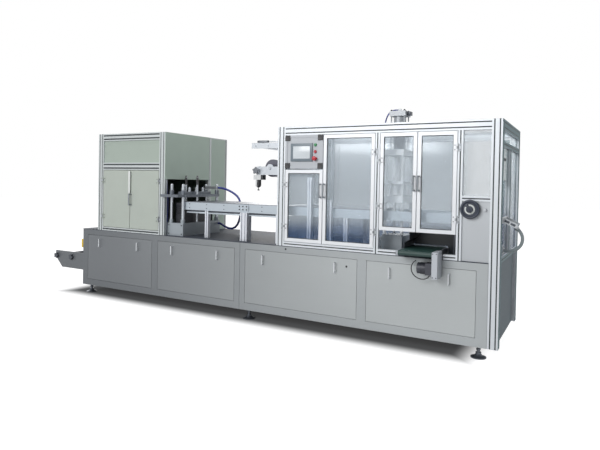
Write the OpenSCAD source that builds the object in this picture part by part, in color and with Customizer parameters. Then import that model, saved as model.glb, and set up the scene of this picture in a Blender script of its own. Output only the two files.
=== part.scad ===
// Blister packing machine: a two-section stainless base on levelling feet, a heating
// cabinet, a four-column forming press, a film track and a glazed sealing enclosure.
// Drawn from the left end of the base (X), its front face (Y) and the floor (Z).

/* [Base] */
// Length of the left base section
left_base_l = 2264; // [2200:2:2500]
// Length of the right base section, up to the end posts
right_base_l = 2314; // [2260:2:2500]
// Depth of the machine, front to back
depth = 1070; // [1040:2:1200]
// Height of the table top above the floor
table_z = 750; // [720:2:780]
// Height of the underside of the base above the floor
base_z = 96; // [80:1:120]
// Thickness of the table plates
table_t = 6; // [4:1:10]
// Radius of the upright edges of the base sections
base_edge_r = 6; // [2:1:12]
// Width of the stile at each end of the base
end_stile = 88; // [60:2:120]
// Width of the stile between the two panels of a section
mid_stile = 84; // [60:2:120]
// Width of the stile on each side of the joint
joint_stile = 62; // [50:2:100]
// Height of the rail under the base panels
low_rail = 69; // [50:1:100]
// Height of the rail over the base panels
high_rail = 64; // [50:1:100]
// Width of the third panel, the wider one of the right section
third_panel_w = 1173; // [1000:1:1300]
// Thickness of a lift-off base panel
panel_t = 12; // [8:1:20]
// Gap around a lift-off base panel
panel_gap = 3; // [2:0.5:6]
// Distance of a pull from the side of its panel
pull_inset = 208; // [120:2:260]
// Height of a pull
pull_h = 92; // [70:1:120]
// How far a pull stands out
pull_proud = 24; // [18:1:36]
// Radius of a pull's bar
pull_r = 5; // [4:0.5:7]
// Distance of the last pull from the outfeed drive
pull_clear = 57; // [50:1:80]
// Height of the lower side of the main switch
switch_z = 522; // [480:2:560]
// Height of the main switch
switch_h = 100; // [80:2:120]

/* [Levelling feet] */
// Radius of a foot's disc
foot_r = 60; // [45:1:75]
// Radius of a foot's stem
foot_stem_r = 12; // [8:1:18]
// Distance of the feet from the ends and sides of the base
foot_inset = 72; // [66:1:100]

/* [Extrusions] */
// Module of the slotted aluminium extrusions
pitch = 40; // [40:1:44]
// Width of a slot's mouth
slot_w = 10; // [8:0.5:11]
// Width of a slot behind its lips
slot_inner_w = 15; // [13:0.5:16]
// Thickness of a slot's lips
slot_lip = 4.5; // [3:0.5:6]
// Depth of a slot
slot_depth = 11; // [10:0.5:11.5]
// Thickness of the panels that sit in the slots
sheet_t = 6; // [4:0.5:7]
// How far a panel reaches into a slot
sheet_bite = 8; // [5:0.5:9]
// Height of the top of both frames above the floor
top_z = 1850; // [1800:2:2000]

/* [Heating cabinet] */
// Distance of the cabinet from the left end of the base
cabinet_x = 252; // [150:2:300]
// Width of the cabinet
cabinet_w = 1020; // [960:2:1060]
// Height of the underside of the middle rail above the floor
cabinet_mid_z = 1443; // [1400:1:1500]
// Height of the lower edge of the panel over the film opening
film_opening_z = 1348; // [1336:1:1420]
// Distance of the middle side post from the front
cabinet_post_y = 722; // [690:2:760]
// Thickness of the cover over the film opening
cover_t = 4; // [3:0.5:6]
// Thickness of a cabinet door
cabinet_door_t = 22; // [18:1:30]
// Skin of a cabinet door, a folded sheet tray
door_skin = 2; // [1.5:0.5:4]
// Height of the lower cabinet hinges above the floor
cabinet_hinge_low = 915; // [880:1:960]
// Height of the upper cabinet hinges above the floor
cabinet_hinge_high = 1325; // [1280:1:1360]
// Height of the lower end of the cabinet door handle
cabinet_handle_z = 1051; // [1000:1:1100]

/* [Doors] */
// Gap around a door
door_gap = 5; // [4:0.5:8]
// Gap where two doors meet
meeting_gap = 7; // [6:0.5:10]
// Width of a glazed door's frame bars
frame_w = 30; // [24:1:40]
// Thickness of a glazed door's frame
frame_t = 27; // [22:1:34]
// Thickness of the door glass
glass_t = 5; // [4:0.5:8]
// How far the glass reaches into the frame
glass_bite = 8; // [5:0.5:12]
// Height of a hinge
hinge_h = 60; // [45:1:80]
// Width of a hinge leaf, from the pin
hinge_leaf_w = 30; // [24:1:34]
// Thickness of a hinge leaf
hinge_leaf_t = 4; // [3:0.5:5]
// Radius of a hinge knuckle
knuckle_r = 7; // [6:0.5:8]
// Distance of the hinge pin in front of the frames
pin_out = 9; // [8:0.5:11]
// Length of a door handle
handle_h = 130; // [110:1:160]
// How far a handle stands out, to the middle of its bar
handle_out = 36; // [32:1:45]
// Radius of a handle's bar
handle_r = 7; // [5:0.5:9]
// Distance of a handle from the free edge of its door
handle_inset = 16; // [14:1:24]

/* [Sealing enclosure] */
// Clear width of the bay with the two left doors
left_bay_w = 884; // [860:1:900]
// Clear width of the bay with the two right doors
right_bay_w = 645; // [620:1:670]
// Clear width of the fixed window
window_w = 210; // [190:1:240]
// Width of the first door, under the control box
first_door_w = 390; // [380:1:420]
// Height of the lower edge of the two right doors
high_door_z = 952; // [900:1:1000]
// Height of the handles of the two left doors
left_handle_z = 1204; // [1150:1:1250]
// Height of the handles of the two right doors
right_handle_z = 1284; // [1230:1:1330]
// Height of the rail under the fixed window
window_rail_z = 1219; // [1200:1:1280]
// Height of the middle rail on the right end
end_rail_z = 1643; // [1600:1:1680]
// Distance of the mullion on the right end from the front
end_mullion_y = 455; // [445:1:520]
// Gap between the roof and the press cylinder
roof_hole_gap = 6; // [4:1:10]

/* [Control box] */
// Height of the lower side of the control box
control_z = 1464; // [1455:1:1500]
// Depth of the control box
control_d = 70; // [60:1:75]
// Width of the touch screen
screen_w = 226; // [200:1:250]
// Height of the terminal box behind the right end's glazing
terminal_h = 258; // [230:1:280]
// Height of the touch screen
screen_h = 164; // [150:1:180]
// How far the screen bezel stands out
screen_proud = 6; // [4:1:10]
// Radius of a push button
button_r = 14; // [11:0.5:16]
// Spacing of the push buttons
button_step = 61; // [50:1:66]
// Radius of the emergency stop's head
stop_r = 20; // [18:0.5:24]

/* [Handwheel] */
// Distance of the handwheel from the left side of its panel
wheel_x = 65; // [60:1:90]
// Height of the handwheel above the floor
wheel_z = 1156; // [1130:1:1165]
// Radius of the handwheel
wheel_r = 75; // [60:1:78]
// Radius of the handwheel's rim section
wheel_rim_r = 11; // [8:0.5:13]
// Radius of the handwheel shaft
wheel_shaft_r = 10; // [8:0.5:12]
// Running clearance of the handwheel on its shaft
wheel_fit = 0.3; // [0.2:0.05:0.5]

/* [Forming press] */
// Gap between the cabinet and the forming block
forming_gap = 8; // [6:1:20]
// Width of the forming block
forming_w = 216; // [200:1:230]
// Distance of the forming block from the front of the base
forming_y = 45; // [40:1:60]
// Length of the forming block, front to back
forming_l = 620; // [600:1:635]
// Height of the forming block
forming_h = 135; // [120:1:150]
// Distance of the columns from the sides of the block
column_inset = 28; // [26:1:36]
// Radius of a guide column
column_r = 15; // [12:0.5:17]
// Height of the tops of the guide columns
column_top = 1290; // [1280:1:1310]
// Radius of a lift rod
lift_rod_r = 11; // [9:0.5:13]
// Height of the tops of the lift rods
lift_rod_top = 1376; // [1350:1:1400]
// Distance of the lift rods from the front of the block
lift_rod_y = 250; // [200:1:300]
// Height of the underside of the platen at the top of its stroke
platen_z = 1160; // [1150:1:1170]
// Thickness of the platen
platen_t = 27; // [22:1:34]
// Height of the guide bushes on the platen
bush_h = 46; // [36:1:56]
// Running clearance of the platen on its columns
bush_fit = 0.5; // [0.3:0.1:0.8]
// How far the platen reaches past the front of the base
platen_front = 32; // [28:1:40]
// Height of the cooling core's top
core_top = 1098; // [1080:1:1104]
// Distance of the cooling core from the middle of the columns
core_inset = 33; // [30:1:40]
// Spacing of the fins on the cooling core
fin_step = 26; // [22:1:30]
// Depth of the gaps between the fins
fin_depth = 16; // [10:1:20]

/* [Film track] */
// Distance of the track's front side from the front of the base
track_y = 95; // [92:1:110]
// Width of the film track
track_w = 505; // [480:1:520]
// Height of the underside of the rails
track_z = 1030; // [1000:1:1040]
// Height of a rail
rail_h = 80; // [70:1:84]
// Thickness of a rail
rail_t = 40; // [30:1:44]
// Thickness of the film bed
bed_t = 6; // [4:1:8]
// Distance of the first support from the forming block
first_support = 251; // [200:1:300]
// Distance of the second support from the first one
second_support = 460; // [420:1:480]
// Distance of the third support from the enclosure
third_support = 70; // [60:1:90]
// Distance of the fourth support from the left side of the left bay
fourth_support = 560; // [520:1:600]
// Distance of the first rear support from the forming block
first_rear_support = 383; // [340:1:400]
// Distance of the second rear support from the enclosure
second_rear_support = 332; // [300:1:350]
// Distance of the tall guide post from the left side of the left bay
tall_guide_x = 215; // [190:1:240]
// Height of the tall guide post above the track
tall_guide_h = 275; // [240:1:300]
// Distance of the short guide post from the left side of the left bay
short_guide_x = 420; // [390:1:450]
// Height of the short guide post above the track
short_guide_h = 75; // [60:1:90]
// Distance of the splice plate from the forming block
splice_x = 670; // [640:2:700]
// Width of the splice plate
splice_w = 130; // [110:2:150]

/* [Foil arms] */
// How far the upper arm reaches from the enclosure
upper_arm_l = 350; // [320:1:380]
// Height of the upper arm's lower edge
upper_arm_z = 1661; // [1640:1:1690]
// Height of the upper arm's plates
upper_arm_h = 54; // [48:1:60]
// How far the lower arm reaches from the enclosure
lower_arm_l = 290; // [286:1:310]
// Height of the lower arm's lower edge
lower_arm_z = 1406; // [1400:1:1412]
// Height of the lower arm's plates
lower_arm_h = 80; // [76:1:90]
// Thickness of the arm plates
arm_t = 12; // [10:1:16]
// Distance of the reel from the enclosure
reel_x = 137; // [130:1:140]
// Radius of the wound foil reel
reel_r = 85; // [76:1:92]
// Radius of the reel shaft
reel_shaft_r = 14; // [10:0.5:16]
// Running clearance of the reel on its shaft
reel_fit = 0.5; // [0.3:0.1:0.8]
// Radius of the lugs that hold the reel shaft
reel_lug_r = 38; // [34:1:42]
// Radius of a guide roller
roller_r = 20; // [16:1:22]

/* [Sealing press] */
// Distance of the press from the left side of the right bay
press_x = 53; // [50:1:90]
// Distance of the press from the front of the base
press_y = 350; // [340:1:360]
// Width of the press block
press_w = 190; // [180:1:200]
// Length of the press block, front to back
press_l = 340; // [320:1:350]
// Height of the top of the press block
press_block_z = 890; // [870:1:900]
// Distance between the teeth of the cutting comb on the press block
comb_pitch = 24; // [20:1:30]
// Height of the teeth of the cutting comb
comb_h = 30; // [24:1:36]
// Radius of a press column
press_column_r = 14; // [11:0.5:16]
// Height of the underside of the bridge plate
bridge_z = 1590; // [1560:1:1620]
// Thickness of the bridge plate
bridge_t = 50; // [40:1:55]
// Distance of the sealing plate from the press block
head_lift = 290; // [270:1:300]
// Thickness of the sealing plate
head_t = 60; // [50:1:70]
// Distance of the upper plate from the sealing plate
head_gap = 100; // [80:1:110]
// Thickness of the upper plate
head_top_t = 25; // [20:1:30]
// Radius of the cylinder barrel
barrel_r = 55; // [48:1:60]
// How far the barrel stands above the frame
barrel_over = 92; // [80:1:110]
// Height of the cylinder's end cap
cap_h = 45; // [36:1:55]
// Radius of the cylinder's tie rods
tie_r = 6; // [5:0.5:8]
// Distance of the tie rods from the sides of the end cap
tie_inset = 14; // [12:0.5:18]

/* [Outfeed] */
// Distance of the belt from the left side of the right bay
belt_x = 224; // [215:1:240]
// Width of the belt
belt_w = 272; // [250:1:280]
// How far the outfeed reaches past the front of the base
outfeed_reach = 150; // [140:1:200]
// How far the outfeed reaches into the enclosure
outfeed_in = 360; // [300:1:420]
// Height of the underside of the belt above the table
belt_lift = 24; // [16:1:34]
// Radius of the belt's end rollers
belt_roller_r = 18; // [15:0.5:22]
// Thickness of the belt
belt_t = 2; // [1.5:0.5:4]
// Width of the drive housing
drive_w = 44; // [40:1:50]
// How far the drive housing hangs below the table
drive_drop = 140; // [120:1:160]
// Radius of the gearmotor
motor_r = 44; // [38:1:48]
// Height of the discharge hood's top above the table
hood_h = 235; // [210:1:260]
// Thickness of the discharge hood's walls
hood_t = 4; // [3:0.5:6]
// Distance of the discharge hood from the right side of the bay
hood_side = 22; // [16:1:30]
// Radius of the discharge hood's lower right corner
hood_bend = 40; // [30:1:50]

/* [Film unwind] */
// How far the unwind plates reach from the base
unwind_l = 560; // [500:2:600]
// Height of the lower edge of the unwind plates
unwind_z = 249; // [230:1:280]
// Height of the unwind plates
unwind_h = 198; // [180:1:220]
// Size of the plates' sloped corner
unwind_slope = 120; // [90:1:130]
// Radius of an unwind shaft
unwind_shaft_r = 15; // [12:0.5:18]
// Radius of a star knob
knob_r = 34; // [28:1:38]

/* [End bracket] */
// How far the end bracket reaches from the enclosure
bracket_reach = 108; // [90:1:120]
// Slope of the end bracket, in degrees
bracket_fall = 26; // [15:1:35]
// Height of the end bracket where it is fixed
bracket_z = 1082; // [1050:1:1100]
// Distance of the end bracket from the front of the base
bracket_y = 109; // [100:1:140]
// Width of the end bracket
bracket_w = 160; // [140:1:200]
// Height of the bracket's side bars
bracket_bar_h = 34; // [24:1:40]
// Radius of the bend of the cable conduit
conduit_bend = 98; // [92:1:110]
// Slope of the conduit where it leaves the bracket, in degrees
conduit_fall = 45; // [40:1:55]

/* [Hidden] */
$fn = 48;

steel = [0.62, 0.63, 0.64];
bright_steel = [0.78, 0.79, 0.80];
aluminium = [0.86, 0.88, 0.90];
cream = [0.72, 0.75, 0.70];
frosted = [0.66, 0.73, 0.78, 0.6];
dark = [0.16, 0.17, 0.20];
black = [0.08, 0.08, 0.09];
blue = [0.13, 0.14, 0.34];

// Base and frames
base_l = left_base_l + right_base_l;
body_top = table_z - table_t;
post = 2 * pitch;
beam_z = top_z - post;
enclosure_x1 = base_l + post;
window_x1 = base_l;
window_x0 = window_x1 - window_w;
right_bay_x1 = window_x0 - pitch;
right_bay_x0 = right_bay_x1 - right_bay_w;
left_bay_x1 = right_bay_x0 - pitch;
left_bay_x0 = left_bay_x1 - left_bay_w;
enclosure_x0 = left_bay_x0 - post;
cabinet_x1 = cabinet_x + cabinet_w;
rear_y = depth - pitch;
roof_z = beam_z + 1.5 * pitch - slot_w / 2;
roof_top = roof_z + sheet_t;

// Base panels: left edge and width of each, from left to right
left_panel_w = (left_base_l - end_stile - mid_stile - joint_stile) / 2;
fourth_panel_w = right_base_l - joint_stile - mid_stile - end_stile - third_panel_w;
base_panels = [
    [end_stile, left_panel_w],
    [end_stile + left_panel_w + mid_stile, left_panel_w],
    [left_base_l + joint_stile, third_panel_w],
    [left_base_l + joint_stile + third_panel_w + mid_stile, fourth_panel_w]
];
panel_z0 = base_z + low_rail;
panel_z1 = table_z - high_rail;
pull_z = panel_z1 - 132;
function pull_xs(i) = [base_panels[i][0] + pull_inset,
    i == 3 ? drive_x0 + drive_w + pull_clear : base_panels[i][0] + base_panels[i][1] - pull_inset];

// Forming press
forming_x = cabinet_x1 + forming_gap;
forming_x1 = forming_x + forming_w;
forming_top = table_z + forming_h;
column_xs = [forming_x + column_inset, forming_x1 - column_inset];
column_ys = [forming_y + column_inset, forming_y + forming_l - column_inset];
rod_y = forming_y + lift_rod_y;
collar_r = 24;
collar_h = 38;
manifold_z = 1245;
manifold_h = 30;
manifold_x1 = column_xs[1] + 22;

// Film track
track_x0 = column_xs[1] - 2;
bed_x0 = forming_x1 + 12;
track_x1 = right_bay_x1 - 40;
track_y1 = track_y + track_w;
track_top = track_z + rail_h;
bed_x1 = left_bay_x1 - 20;

// Foil arms, held by the first post and by a post behind it
arm_y0 = post;
arm_post_y = track_y1 + 32;
arm_x1 = left_bay_x0;
reel_cx = enclosure_x0 - reel_x;
reel_cz = lower_arm_z + 66;
reel_y0 = arm_y0 + arm_t + 38;
reel_y1 = arm_post_y - arm_t - 38;
reel_core_r = 30;
lower_roller = [enclosure_x0 - lower_arm_l + 11, lower_arm_z + 40];
upper_rollers = [[enclosure_x0 - upper_arm_l + 46, upper_arm_z + 27],
                 [enclosure_x0 - upper_arm_l + 190, upper_arm_z + 27]];

// Doors: left, right, lower and upper side, hinge side (-1 left), hinge heights, handle
low_door_z = table_z + pitch + door_gap;
first_split = left_bay_x0 + first_door_w;
right_split = (right_bay_x0 + right_bay_x1) / 2;
doors = [
    [left_bay_x0 + door_gap, first_split, low_door_z, control_z - 2 * door_gap,
     -1, [table_z + 183, control_z - 147], left_handle_z],
    [first_split + meeting_gap, left_bay_x1 - door_gap, low_door_z, beam_z - door_gap,
     1, [table_z + 181, beam_z - 162], left_handle_z],
    [right_bay_x0 + door_gap, right_split - meeting_gap / 2, high_door_z, beam_z - door_gap,
     -1, [high_door_z + 202, beam_z - 232], right_handle_z],
    [right_split + meeting_gap / 2, right_bay_x1 - door_gap, high_door_z, beam_z - door_gap,
     1, [high_door_z + 120, beam_z - 135], right_handle_z]
];
cabinet_split = cabinet_x + cabinet_w / 2;
cabinet_door_z0 = table_z + pitch + door_gap;
cabinet_door_z1 = cabinet_mid_z - door_gap;
cabinet_hinge_zs = [cabinet_hinge_low, cabinet_hinge_high];

// Sealing press
press_cx = right_bay_x0 + press_x;
press_column_dx = press_w / 2 - 17;
press_column_dy = press_l / 2 - 40;
comb_t = 10;
comb_teeth = floor(press_w / comb_pitch);
comb_l = comb_teeth * comb_pitch;
cap_w = 2 * barrel_r + 36;
cap_z = top_z + barrel_over;
tie_out = cap_w / 2 - tie_inset;
cylinder_z = bridge_z + bridge_t;

// Outfeed
belt_x0 = right_bay_x0 + belt_x;
belt_x1 = belt_x0 + belt_w;
outfeed_side_t = 10;
rail_break_x0 = belt_x0 - 66;
rail_break_x1 = belt_x1 + drive_w + 6;
belt_z = table_z + belt_lift;
belt_h = 2 * (belt_roller_r + belt_t);
drive_x0 = belt_x1 + 2;
motor_y = -80;
motor_z = table_z - 70;

// Handwheel
wheel_cx = window_x0 + wheel_x;
sheet_front = pitch / 2 - slot_w / 2;

// Outer box, which sets the origin at the middle of its underside
knob_tip_x = -unwind_l + 29;
box_x0 = min(-unwind_l, knob_tip_x - knob_r);
box_x1 = enclosure_x1 + bracket_reach;
box_y0 = -outfeed_reach;
box_y1 = depth + pull_proud + pull_r;
middle = [(box_x0 + box_x1) / 2, (box_y0 + box_y1) / 2, 0];

// Routes of the free hoses and cables, as steps from the piece that each one leaves
function from(place, steps) = [for (step = steps) place + step];
forming_hose_r = 12;
forming_hose_route = from([manifold_x1, column_ys[1], manifold_z + manifold_h / 2], [
    [0, 0, 0], [28, 0, 0], [68, 0, -4], [110, 0, -14], [152, 0, -28], [192, 0, -44],
    [231, 0, -64], [266, 0, -88], [294, 0, -119], [310, 0, -156], [317, 0, -198], [319, 0, -241],
    [316, 0, -284], [309, 0, -327], [296, 0, -369], [276, 0, -408], [247, 0, -438], [208, 0, -455],
    [166, 0, -456], [125, 0, -446], [86, 0, -430], [54, 0, -414], [30, 0, -406], [6, 0, -406]
]);
motor_lead_r = 4;
motor_lead_route = from([drive_x0, motor_y, motor_z], [
    [-171, 80, 42], [-171, 62, 42], [-175, 46, 36], [-183, 34, 22], [-188, 26, 2], [-187, 20, -19],
    [-180, 14, -40], [-167, 9, -58], [-149, 5, -73], [-128, 2, -83], [-106, 0, -88], [-84, 0, -88],
    [-63, 0, -83], [-46, 0, -74], [-36, 0, -60], [-36, 0, -46]
]);
cylinder_hose_r = 6;
cylinder_hose_route = concat(
    from([press_cx, press_y, cap_z + cap_h], [
        [-18, 0, 16], [-32, 0, 16], [-46, 0, 16], [-60, 0, 14], [-74, 0, 10], [-88, 0, 2],
        [-101, 0, -10], [-113, 0, -26], [-123, 0, -46], [-131, 0, -69], [-136, 0, -94], [-139, 0, -118]
    ]),
    from([press_cx - 140, press_y, roof_top], [[0, 0, 18], [0, 0, 0]])
);
conduit_r = 12.5;
bracket_half = bracket_bar_h / 2;
bracket_run = (bracket_reach - bracket_half * sin(bracket_fall)) / cos(bracket_fall);
socket_l = 24;
conduit_lead = 8;
conduit_turns = 16;
conduit_place = [enclosure_x1 + bracket_reach - conduit_lead, bracket_y + bracket_w / 2, bracket_z - 75];
conduit_arc = conduit_place + conduit_lead * [cos(conduit_fall), 0, -sin(conduit_fall)];
conduit_end = [conduit_arc[0] - conduit_bend * sin(conduit_fall), conduit_arc[1],
               conduit_arc[2] - conduit_bend * (1 + cos(conduit_fall))];
conduit_route = concat(
    [conduit_place],
    [for (i = [0 : conduit_turns])
        let (a = conduit_fall + (180 - conduit_fall) * i / conduit_turns)
        conduit_arc + conduit_bend * [sin(a) - sin(conduit_fall), 0, cos(a) - cos(conduit_fall)]],
    [for (k = [0.6, 0.3, 0])
        [enclosure_x1 + k * (conduit_end[0] - enclosure_x1), conduit_end[1], conduit_end[2]]]
);
cabinet_hose_r = 7;
cabinet_hose_route = from([cabinet_x1 - 16, pitch, table_z], [
    [0, 16, beam_z - table_z], [0, 16, 960], [0, 15, 890], [0, 13, 810], [0, 10, 730], [0, 9, 650],
    [0, 10, 590], [0, 14, 530], [0, 20, 470], [0, 26, 410], [0, 30, 350], [0, 31, 300], [0, 29, 240],
    [0, 25, 180], [0, 20, 120], [0, 18, 60], [0, 18, 0]
]);

// Section of a slotted extrusion: a block with T-slots on every module of its sides
module slot_2d() {
    w = slot_w / 2;
    inner = slot_inner_w / 2;
    polygon([[-w, -1], [w, -1], [w, slot_lip], [inner, slot_lip], [inner, slot_depth],
             [-inner, slot_depth], [-inner, slot_lip], [-w, slot_lip]]);
}

module extrusion_2d(w, d) {
    across = round(w / pitch);
    deep = round(d / pitch);
    difference() {
        square([w, d]);
        for (i = [0 : across - 1]) {
            translate([pitch * (i + 0.5), 0]) slot_2d();
            translate([pitch * (i + 0.5), d]) rotate(180) slot_2d();
        }
        for (j = [0 : deep - 1]) {
            translate([0, pitch * (j + 0.5)]) rotate(-90) slot_2d();
            translate([w, pitch * (j + 0.5)]) rotate(90) slot_2d();
        }
    }
}

// Extrusions along Z, X and Y from their lowest corner
module post_bar(x, y, z0, z1, w, d) {
    translate([x, y, z0]) linear_extrude(z1 - z0) extrusion_2d(w, d);
}

module rail_x(x0, x1, y, z, d, h) {
    translate([x0, y, z]) rotate([90, 0, 90]) linear_extrude(x1 - x0) extrusion_2d(d, h);
}

module rail_y(y0, y1, x, z, w, h) {
    translate([x, y1, z]) rotate([90, 0, 0]) linear_extrude(y1 - y0) extrusion_2d(w, h);
}

// A box from one corner to the other
module block(a, b) {
    translate(a) cube(b - a);
}

// A rectangle with round corners
module round_rect(w, d, r) {
    translate([r, 0]) square([w - 2 * r, d]);
    translate([0, r]) square([w, d - 2 * r]);
    for (x = [r, w - r], y = [r, d - r]) translate([x, y]) circle(r);
}

// A sheet in the slots of the frame, along X or along Y, against the outer lips
module sheet_x(x0, x1, z0, z1, y) {
    block([x0 - sheet_bite, y, z0], [x1 + sheet_bite, y + sheet_t, z1]);
}

module sheet_y(y0, y1, z0, z1, x) {
    block([x, y0 - sheet_bite, z0], [x + sheet_t, y1 + sheet_bite, z1]);
}

// A bow handle that stands out towards the front from the plane Y = 0
module bow(x, z, h, out, r) {
    translate([x, -out, z + r]) cylinder(h = h - 2 * r, r = r);
    for (end = [z + r, z + h - r]) {
        translate([x, -out, end]) sphere(r);
        translate([x, 0, end]) rotate([90, 0, 0]) cylinder(h = out, r = r);
    }
}

// Half of a hinge: a leaf with knuckles, to the left (-1) or right (1) of the pin
module hinge_half(x, z, side, thirds) {
    step = hinge_h / 3;
    relief = 0.3;
    near = knuckle_r + 1.5;
    translate([x, 0, z - hinge_h / 2]) mirror([side < 0 ? 1 : 0, 0, 0]) {
        block([near, -hinge_leaf_t, 0], [hinge_leaf_w, 0, hinge_h]);
        for (i = thirds) {
            low = i * step + (i == 0 ? 0 : relief);
            high = (i + 1) * step - (i == 2 ? 0 : relief);
            block([3, -hinge_leaf_t, low], [near + 1, 0, high]);
            translate([0, -pin_out, low]) cylinder(h = high - low, r = knuckle_r);
        }
    }
}

// A tube swept along a route
tube_sides = 8;
function unit(v) = v / norm(v);
function heading(p, i) = unit(i == 0 ? p[1] - p[0]
    : i == len(p) - 1 ? p[i] - p[i - 1] : p[i + 1] - p[i - 1]);
function square_to(t, v) = unit(v - (v * t) * t);
function frames(p, i, last) = i == len(p) ? [] :
    let (t = heading(p, i), s = square_to(t, last)) concat([[s, cross(t, s)]], frames(p, i + 1, s));

module tube(route, r) {
    n = len(route);
    turned = frames(route, 0, [0.31, 0.87, 0.38]);
    points = [for (i = [0 : n - 1], k = [0 : tube_sides - 1])
        let (a = 360 * k / tube_sides) route[i] + r * (cos(a) * turned[i][0] + sin(a) * turned[i][1])];
    walls = [for (i = [0 : n - 2], k = [0 : tube_sides - 1])
        let (a = i * tube_sides + k, b = i * tube_sides + (k + 1) % tube_sides)
        each [[a, a + tube_sides, b], [b, a + tube_sides, b + tube_sides]]];
    ends = [[for (k = [0 : tube_sides - 1]) k],
            [for (k = [tube_sides - 1 : -1 : 0]) (n - 1) * tube_sides + k]];
    polyhedron(points, concat(walls, ends));
}

// Base
module panel_recesses(first, last) {
    for (i = [first : last]) {
        p = base_panels[i];
        block([p[0], -1, panel_z0], [p[0] + p[1], panel_t, panel_z1]);
        block([p[0], depth - panel_t, panel_z0], [p[0] + p[1], depth + 1, panel_z1]);
    }
}

module base_left_housing() {
    color(steel) difference() {
        translate([0, 0, base_z]) linear_extrude(body_top - base_z)
            round_rect(left_base_l, depth, base_edge_r);
        panel_recesses(0, 1);
    }
}

module base_right_housing() {
    color(steel) difference() {
        translate([left_base_l, 0, base_z]) linear_extrude(body_top - base_z) {
            round_rect(right_base_l, depth, base_edge_r);
            translate([right_base_l / 2, post]) square([right_base_l / 2 + post - 30, depth - 2 * post]);
        }
        panel_recesses(2, 3);
    }
}

module table_plates() {
    color(bright_steel) {
        block([0, 0, body_top], [left_base_l - 1, depth, table_z]);
        block([left_base_l + 1, 0, body_top], [base_l, depth, table_z]);
    }
}

module base_panel(p) {
    block([p[0] + panel_gap, 0, panel_z0 + panel_gap],
          [p[0] + p[1] - panel_gap, panel_t, panel_z1 - panel_gap]);
}

module front_panels() {
    color(steel) for (p = base_panels) base_panel(p);
}

module rear_panels() {
    color(steel) for (p = base_panels) translate([0, depth - panel_t, 0]) base_panel(p);
}

module panel_pulls() {
    color(aluminium) for (i = [0 : 3], x = pull_xs(i)) {
        bow(x, pull_z, pull_h, pull_proud, pull_r);
        translate([0, depth, 0]) mirror([0, 1, 0]) bow(x, pull_z, pull_h, pull_proud, pull_r);
    }
}

module levelling_feet() {
    xs = [foot_inset, left_base_l + foot_inset, base_l - foot_inset];
    color(bright_steel) for (x = xs, y = [foot_inset, depth - foot_inset]) translate([x, y, 0])
        rotate_extrude() polygon([[0, 0], [foot_r, 0], [foot_r, 8], [foot_r * 0.55, 18],
            [foot_stem_r + 10, 30], [foot_stem_r + 10, 44], [foot_stem_r, 44],
            [foot_stem_r, base_z - 14], [foot_stem_r + 8, base_z - 14], [foot_stem_r + 8, base_z],
            [0, base_z]]);
}

module main_switch() {
    color("gold") {
        block([-46, 14, switch_z], [0, 74, switch_z + switch_h]);
        translate([-46, 44, switch_z + switch_h / 2]) rotate([0, -90, 0]) cylinder(h = 6, r = 26);
        block([-62, 38, switch_z + switch_h / 2 - 22], [-46, 50, switch_z + switch_h / 2 + 22]);
    }
}

// Film unwind at the left end
unwind_plate_t = 12;
unwind_ys = [50, track_y1 + 20];
unwind_holes = [[knob_tip_x, unwind_z + unwind_h - 62], [-260, unwind_z + unwind_h - 62]];

module unwind_bracket() {
    color(steel) for (y = unwind_ys) difference() {
        union() {
            translate([0, y + unwind_plate_t, 0]) rotate([90, 0, 0]) linear_extrude(unwind_plate_t)
                polygon([[0, unwind_z], [unwind_slope - unwind_l, unwind_z],
                         [-unwind_l, unwind_z + unwind_slope], [-unwind_l, unwind_z + unwind_h],
                         [0, unwind_z + unwind_h]]);
            block([-8, y - 20, unwind_z - 10], [0, y + unwind_plate_t + 20, unwind_z + unwind_h + 10]);
        }
        for (h = unwind_holes) translate([h[0], y - 1, h[1]]) rotate([-90, 0, 0])
            cylinder(h = unwind_plate_t + 2, r = unwind_shaft_r + 0.2);
    }
}

module unwind_shafts() {
    color(dark) for (h = unwind_holes) translate([h[0], unwind_ys[0] - 4, h[1]]) {
        rotate([-90, 0, 0])
            cylinder(h = unwind_ys[1] - unwind_ys[0] + unwind_plate_t + 16, r = unwind_shaft_r);
        rotate([90, 0, 0]) {
            cylinder(h = 12, r = knob_r - 10);
            for (k = [0 : 4]) rotate(72 * k) translate([knob_r - 10, 0, 0]) cylinder(h = 22, r = 10);
            cylinder(h = 22, r = knob_r - 10);
        }
    }
}

// Heating cabinet
module cabinet_posts() {
    color(aluminium) {
        for (x = [cabinet_x, cabinet_x1 - post]) {
            for (y = [0, rear_y]) post_bar(x, y, table_z, top_z, post, pitch);
        }
        post_bar(cabinet_x1 - pitch, cabinet_post_y, table_z, beam_z, pitch, pitch);
    }
}

module cabinet_rails() {
    inner_x0 = cabinet_x + post;
    inner_x1 = cabinet_x1 - post;
    color(aluminium) {
        for (y = [0, rear_y]) {
            rail_x(inner_x0, inner_x1, y, beam_z, pitch, post);
            rail_x(inner_x0, inner_x1, y, table_z, pitch, pitch);
        }
        rail_x(inner_x0, inner_x1, 0, cabinet_mid_z, pitch, post);
        for (x = [cabinet_x, cabinet_x1 - pitch]) rail_y(pitch, rear_y, x, beam_z, pitch, post);
        rail_y(pitch, rear_y, cabinet_x, table_z, pitch, pitch);
        rail_y(cabinet_post_y + pitch, rear_y, cabinet_x1 - pitch, table_z, pitch, pitch);
    }
}

module roof_sheet(x0, x1, notch) {
    translate([0, 0, roof_z]) linear_extrude(sheet_t) difference() {
        translate([x0 + pitch - sheet_bite, pitch - sheet_bite])
            square([x1 - x0 - 2 * (pitch - sheet_bite), depth - 2 * (pitch - sheet_bite)]);
        for (x = [x0, x1 - post - 1], y = [0, depth - notch - 1]) translate([x, y])
            square([post + 1, notch + 1]);
    }
}

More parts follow.
